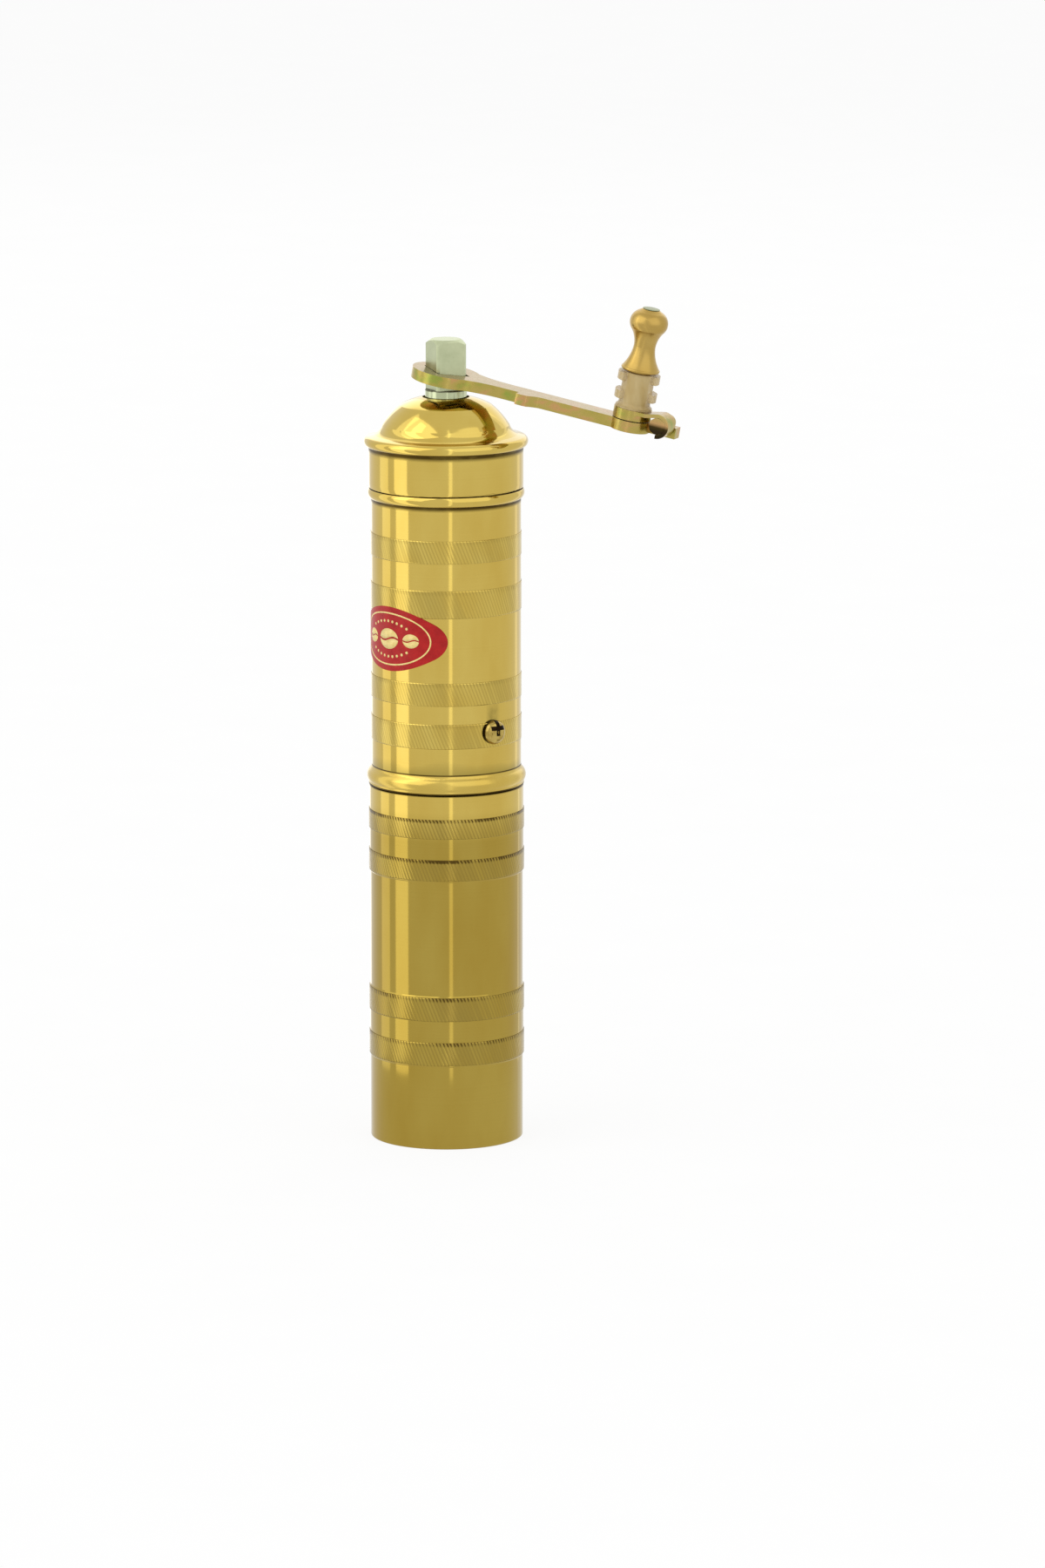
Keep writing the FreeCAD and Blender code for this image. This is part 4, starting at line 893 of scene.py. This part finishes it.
def dress_mill():
    """Make every material and piece of the mill."""
    brass = make_polished_brass()
    knurled = make_knurled_brass()
    finishes = {
        brass: BRASS_NODES,
        make_spindle_steel(): ("spindle",),
        make_zinc_steel(): ("thrust_washer", "knob_rivet"),
        make_chromate_steel(): ("crank_arm", "knob_leaf", "hinge_pin"),
        make_dark_steel(): ("retaining_clip",),
        make_burr_iron(): ("burr_guide", "outer_burr", "inner_burr"),
        make_bearing_bronze(): ("top_bush", "guide_bush"),
        make_aged_brass(): ("body_screw_front", "body_screw_back"),
        make_label_film(): ("label",),
        make_nylon(): ("knob_sleeve",),
        make_satin_brass(): ("knob",),
    }
    for material, nodes in finishes.items():
        for node in nodes:
            dress(node, material)
    for ring, (name, body, bands, radius, style) in enumerate(KNURL_RINGS):
        for number, band in enumerate(bands, start=1):
            seed = SEEDS_PER_RING * ring + number
            make_knurl("%s_%d" % (name, number), body, band, radius, style, knurled, seed)
    make_skirt(brass)
    make_label_print(make_label_ink())
    for node, (width, angle) in SOFT_EDGES.items():
        soften_edges(node, width, angle)


# The surround's share of white as it lights the mill.
AMBIENT = 0.78


def light_world():
    """A plain surround, white to the camera, metal and glass, a little dimmer as light on the mill."""
    world = bpy.data.worlds.new("surround")
    bpy.context.scene.world = world
    world.use_nodes = True
    graph = Graph(world.node_tree)
    plain = graph.add("ShaderNodeBackground")
    graph.feed(plain.inputs["Color"], (AMBIENT, AMBIENT, AMBIENT))
    white = graph.add("ShaderNodeBackground")
    graph.feed(white.inputs["Color"], (1.0, 1.0, 1.0))
    both = graph.mix_shaders(background_rays(graph), plain.outputs[0], white.outputs[0])
    output = graph.add("ShaderNodeOutputWorld")
    graph.feed(output.inputs["Surface"], both)


# Soft square lamps: name, place in metres and power in watts.
SQUARE_LAMPS = (
    ("lamp_left", (-1.2, -1.4, 1.5), 16.0),
    ("lamp_right", (1.6, -0.9, 1.2), 8.0),
    ("lamp_back", (-0.4, 1.6, 1.4), 8.0),
)
SQUARE_LAMP_SIZE = 2.4
LAMP_TARGET = Vector((0.0, 0.0, 0.12))

# Narrow standing lamps that show as bright stripes in the metal: name, angle in degrees to the right
# of the camera's direction, width in metres and radiance. They add no light to dull surfaces.
STRIP_LAMPS = (
    ("strip_left", -98.0, 0.040, 0.55),
    ("strip_front_left", -66.0, 0.046, 0.85),
    ("strip_front", 6.0, 0.010, 0.6),
    ("strip_right", 128.0, 0.020, 0.3),
    ("strip_back", -160.0, 0.040, 0.5),
)
STRIP_DISTANCE = 0.12
STRIP_HEIGHT = 0.4


def add_lamp(name, place, target, size, power):
    """Add a soft lamp of a width and height that faces a target and is not seen by the camera."""
    lamp = bpy.data.lights.new(name, "AREA")
    lamp.shape = "RECTANGLE"
    lamp.size, lamp.size_y = size
    lamp.energy = power
    holder = bpy.data.objects.new(name, lamp)
    holder.location = place
    holder.rotation_euler = (target - Vector(place)).to_track_quat("-Z", "Y").to_euler()
    holder.visible_camera = False
    bpy.context.scene.collection.objects.link(holder)
    return holder


def light_lamps():
    """Light the mill softly from three sides, and stand the narrow lamps round it."""
    for name, place, power in SQUARE_LAMPS:
        add_lamp(name, place, LAMP_TARGET, (SQUARE_LAMP_SIZE, SQUARE_LAMP_SIZE), power)
    for name, side, width, radiance in STRIP_LAMPS:
        angle = CAMERA_AZIMUTH - math.pi / 2 + math.radians(side)
        middle = Vector((0.0, 0.0, 0.5 * STRIP_HEIGHT))
        place = middle + STRIP_DISTANCE * Vector((math.cos(angle), math.sin(angle), 0.0))
        power = radiance * math.pi * width * STRIP_HEIGHT
        strip = add_lamp(name, place, middle, (width, STRIP_HEIGHT), power)
        strip.visible_diffuse = False
        strip.visible_transmission = False


FLOOR_HALF_SIZE = 14.0


def lay_floor():
    """Lay the paper that the mill stands on."""
    signs = ((-1, -1), (1, -1), (1, 1), (-1, 1))
    corners = [(x * FLOOR_HALF_SIZE, y * FLOOR_HALF_SIZE, 0.0) for x, y in signs]
    mesh = bpy.data.meshes.new("floor")
    mesh.from_pydata(corners, [], [(0, 1, 2, 3)])
    mesh.materials.append(make_floor_paper())
    floor = bpy.data.objects.new("floor", mesh)
    bpy.context.scene.collection.objects.link(floor)


def place_camera():
    """Stand the camera where the photograph was taken from."""
    lens = bpy.data.cameras.new("camera")
    lens.lens = CAMERA_LENS
    lens.sensor_width = SENSOR_WIDTH
    lens.clip_start = CLIP_NEAR
    lens.clip_end = CLIP_FAR
    camera = bpy.data.objects.new("camera", lens)
    camera.location = (
        CAMERA_DISTANCE * math.sin(CAMERA_AZIMUTH),
        -CAMERA_DISTANCE * math.cos(CAMERA_AZIMUTH),
        CAMERA_HEIGHT,
    )
    camera.rotation_euler = (CAMERA_TILT, 0.0, CAMERA_PAN)
    bpy.context.scene.collection.objects.link(camera)
    bpy.context.scene.camera = camera


bpy.context.scene.view_settings.view_transform = "Standard"
place_camera()
dress_mill()
light_world()
lay_floor()
light_lamps()
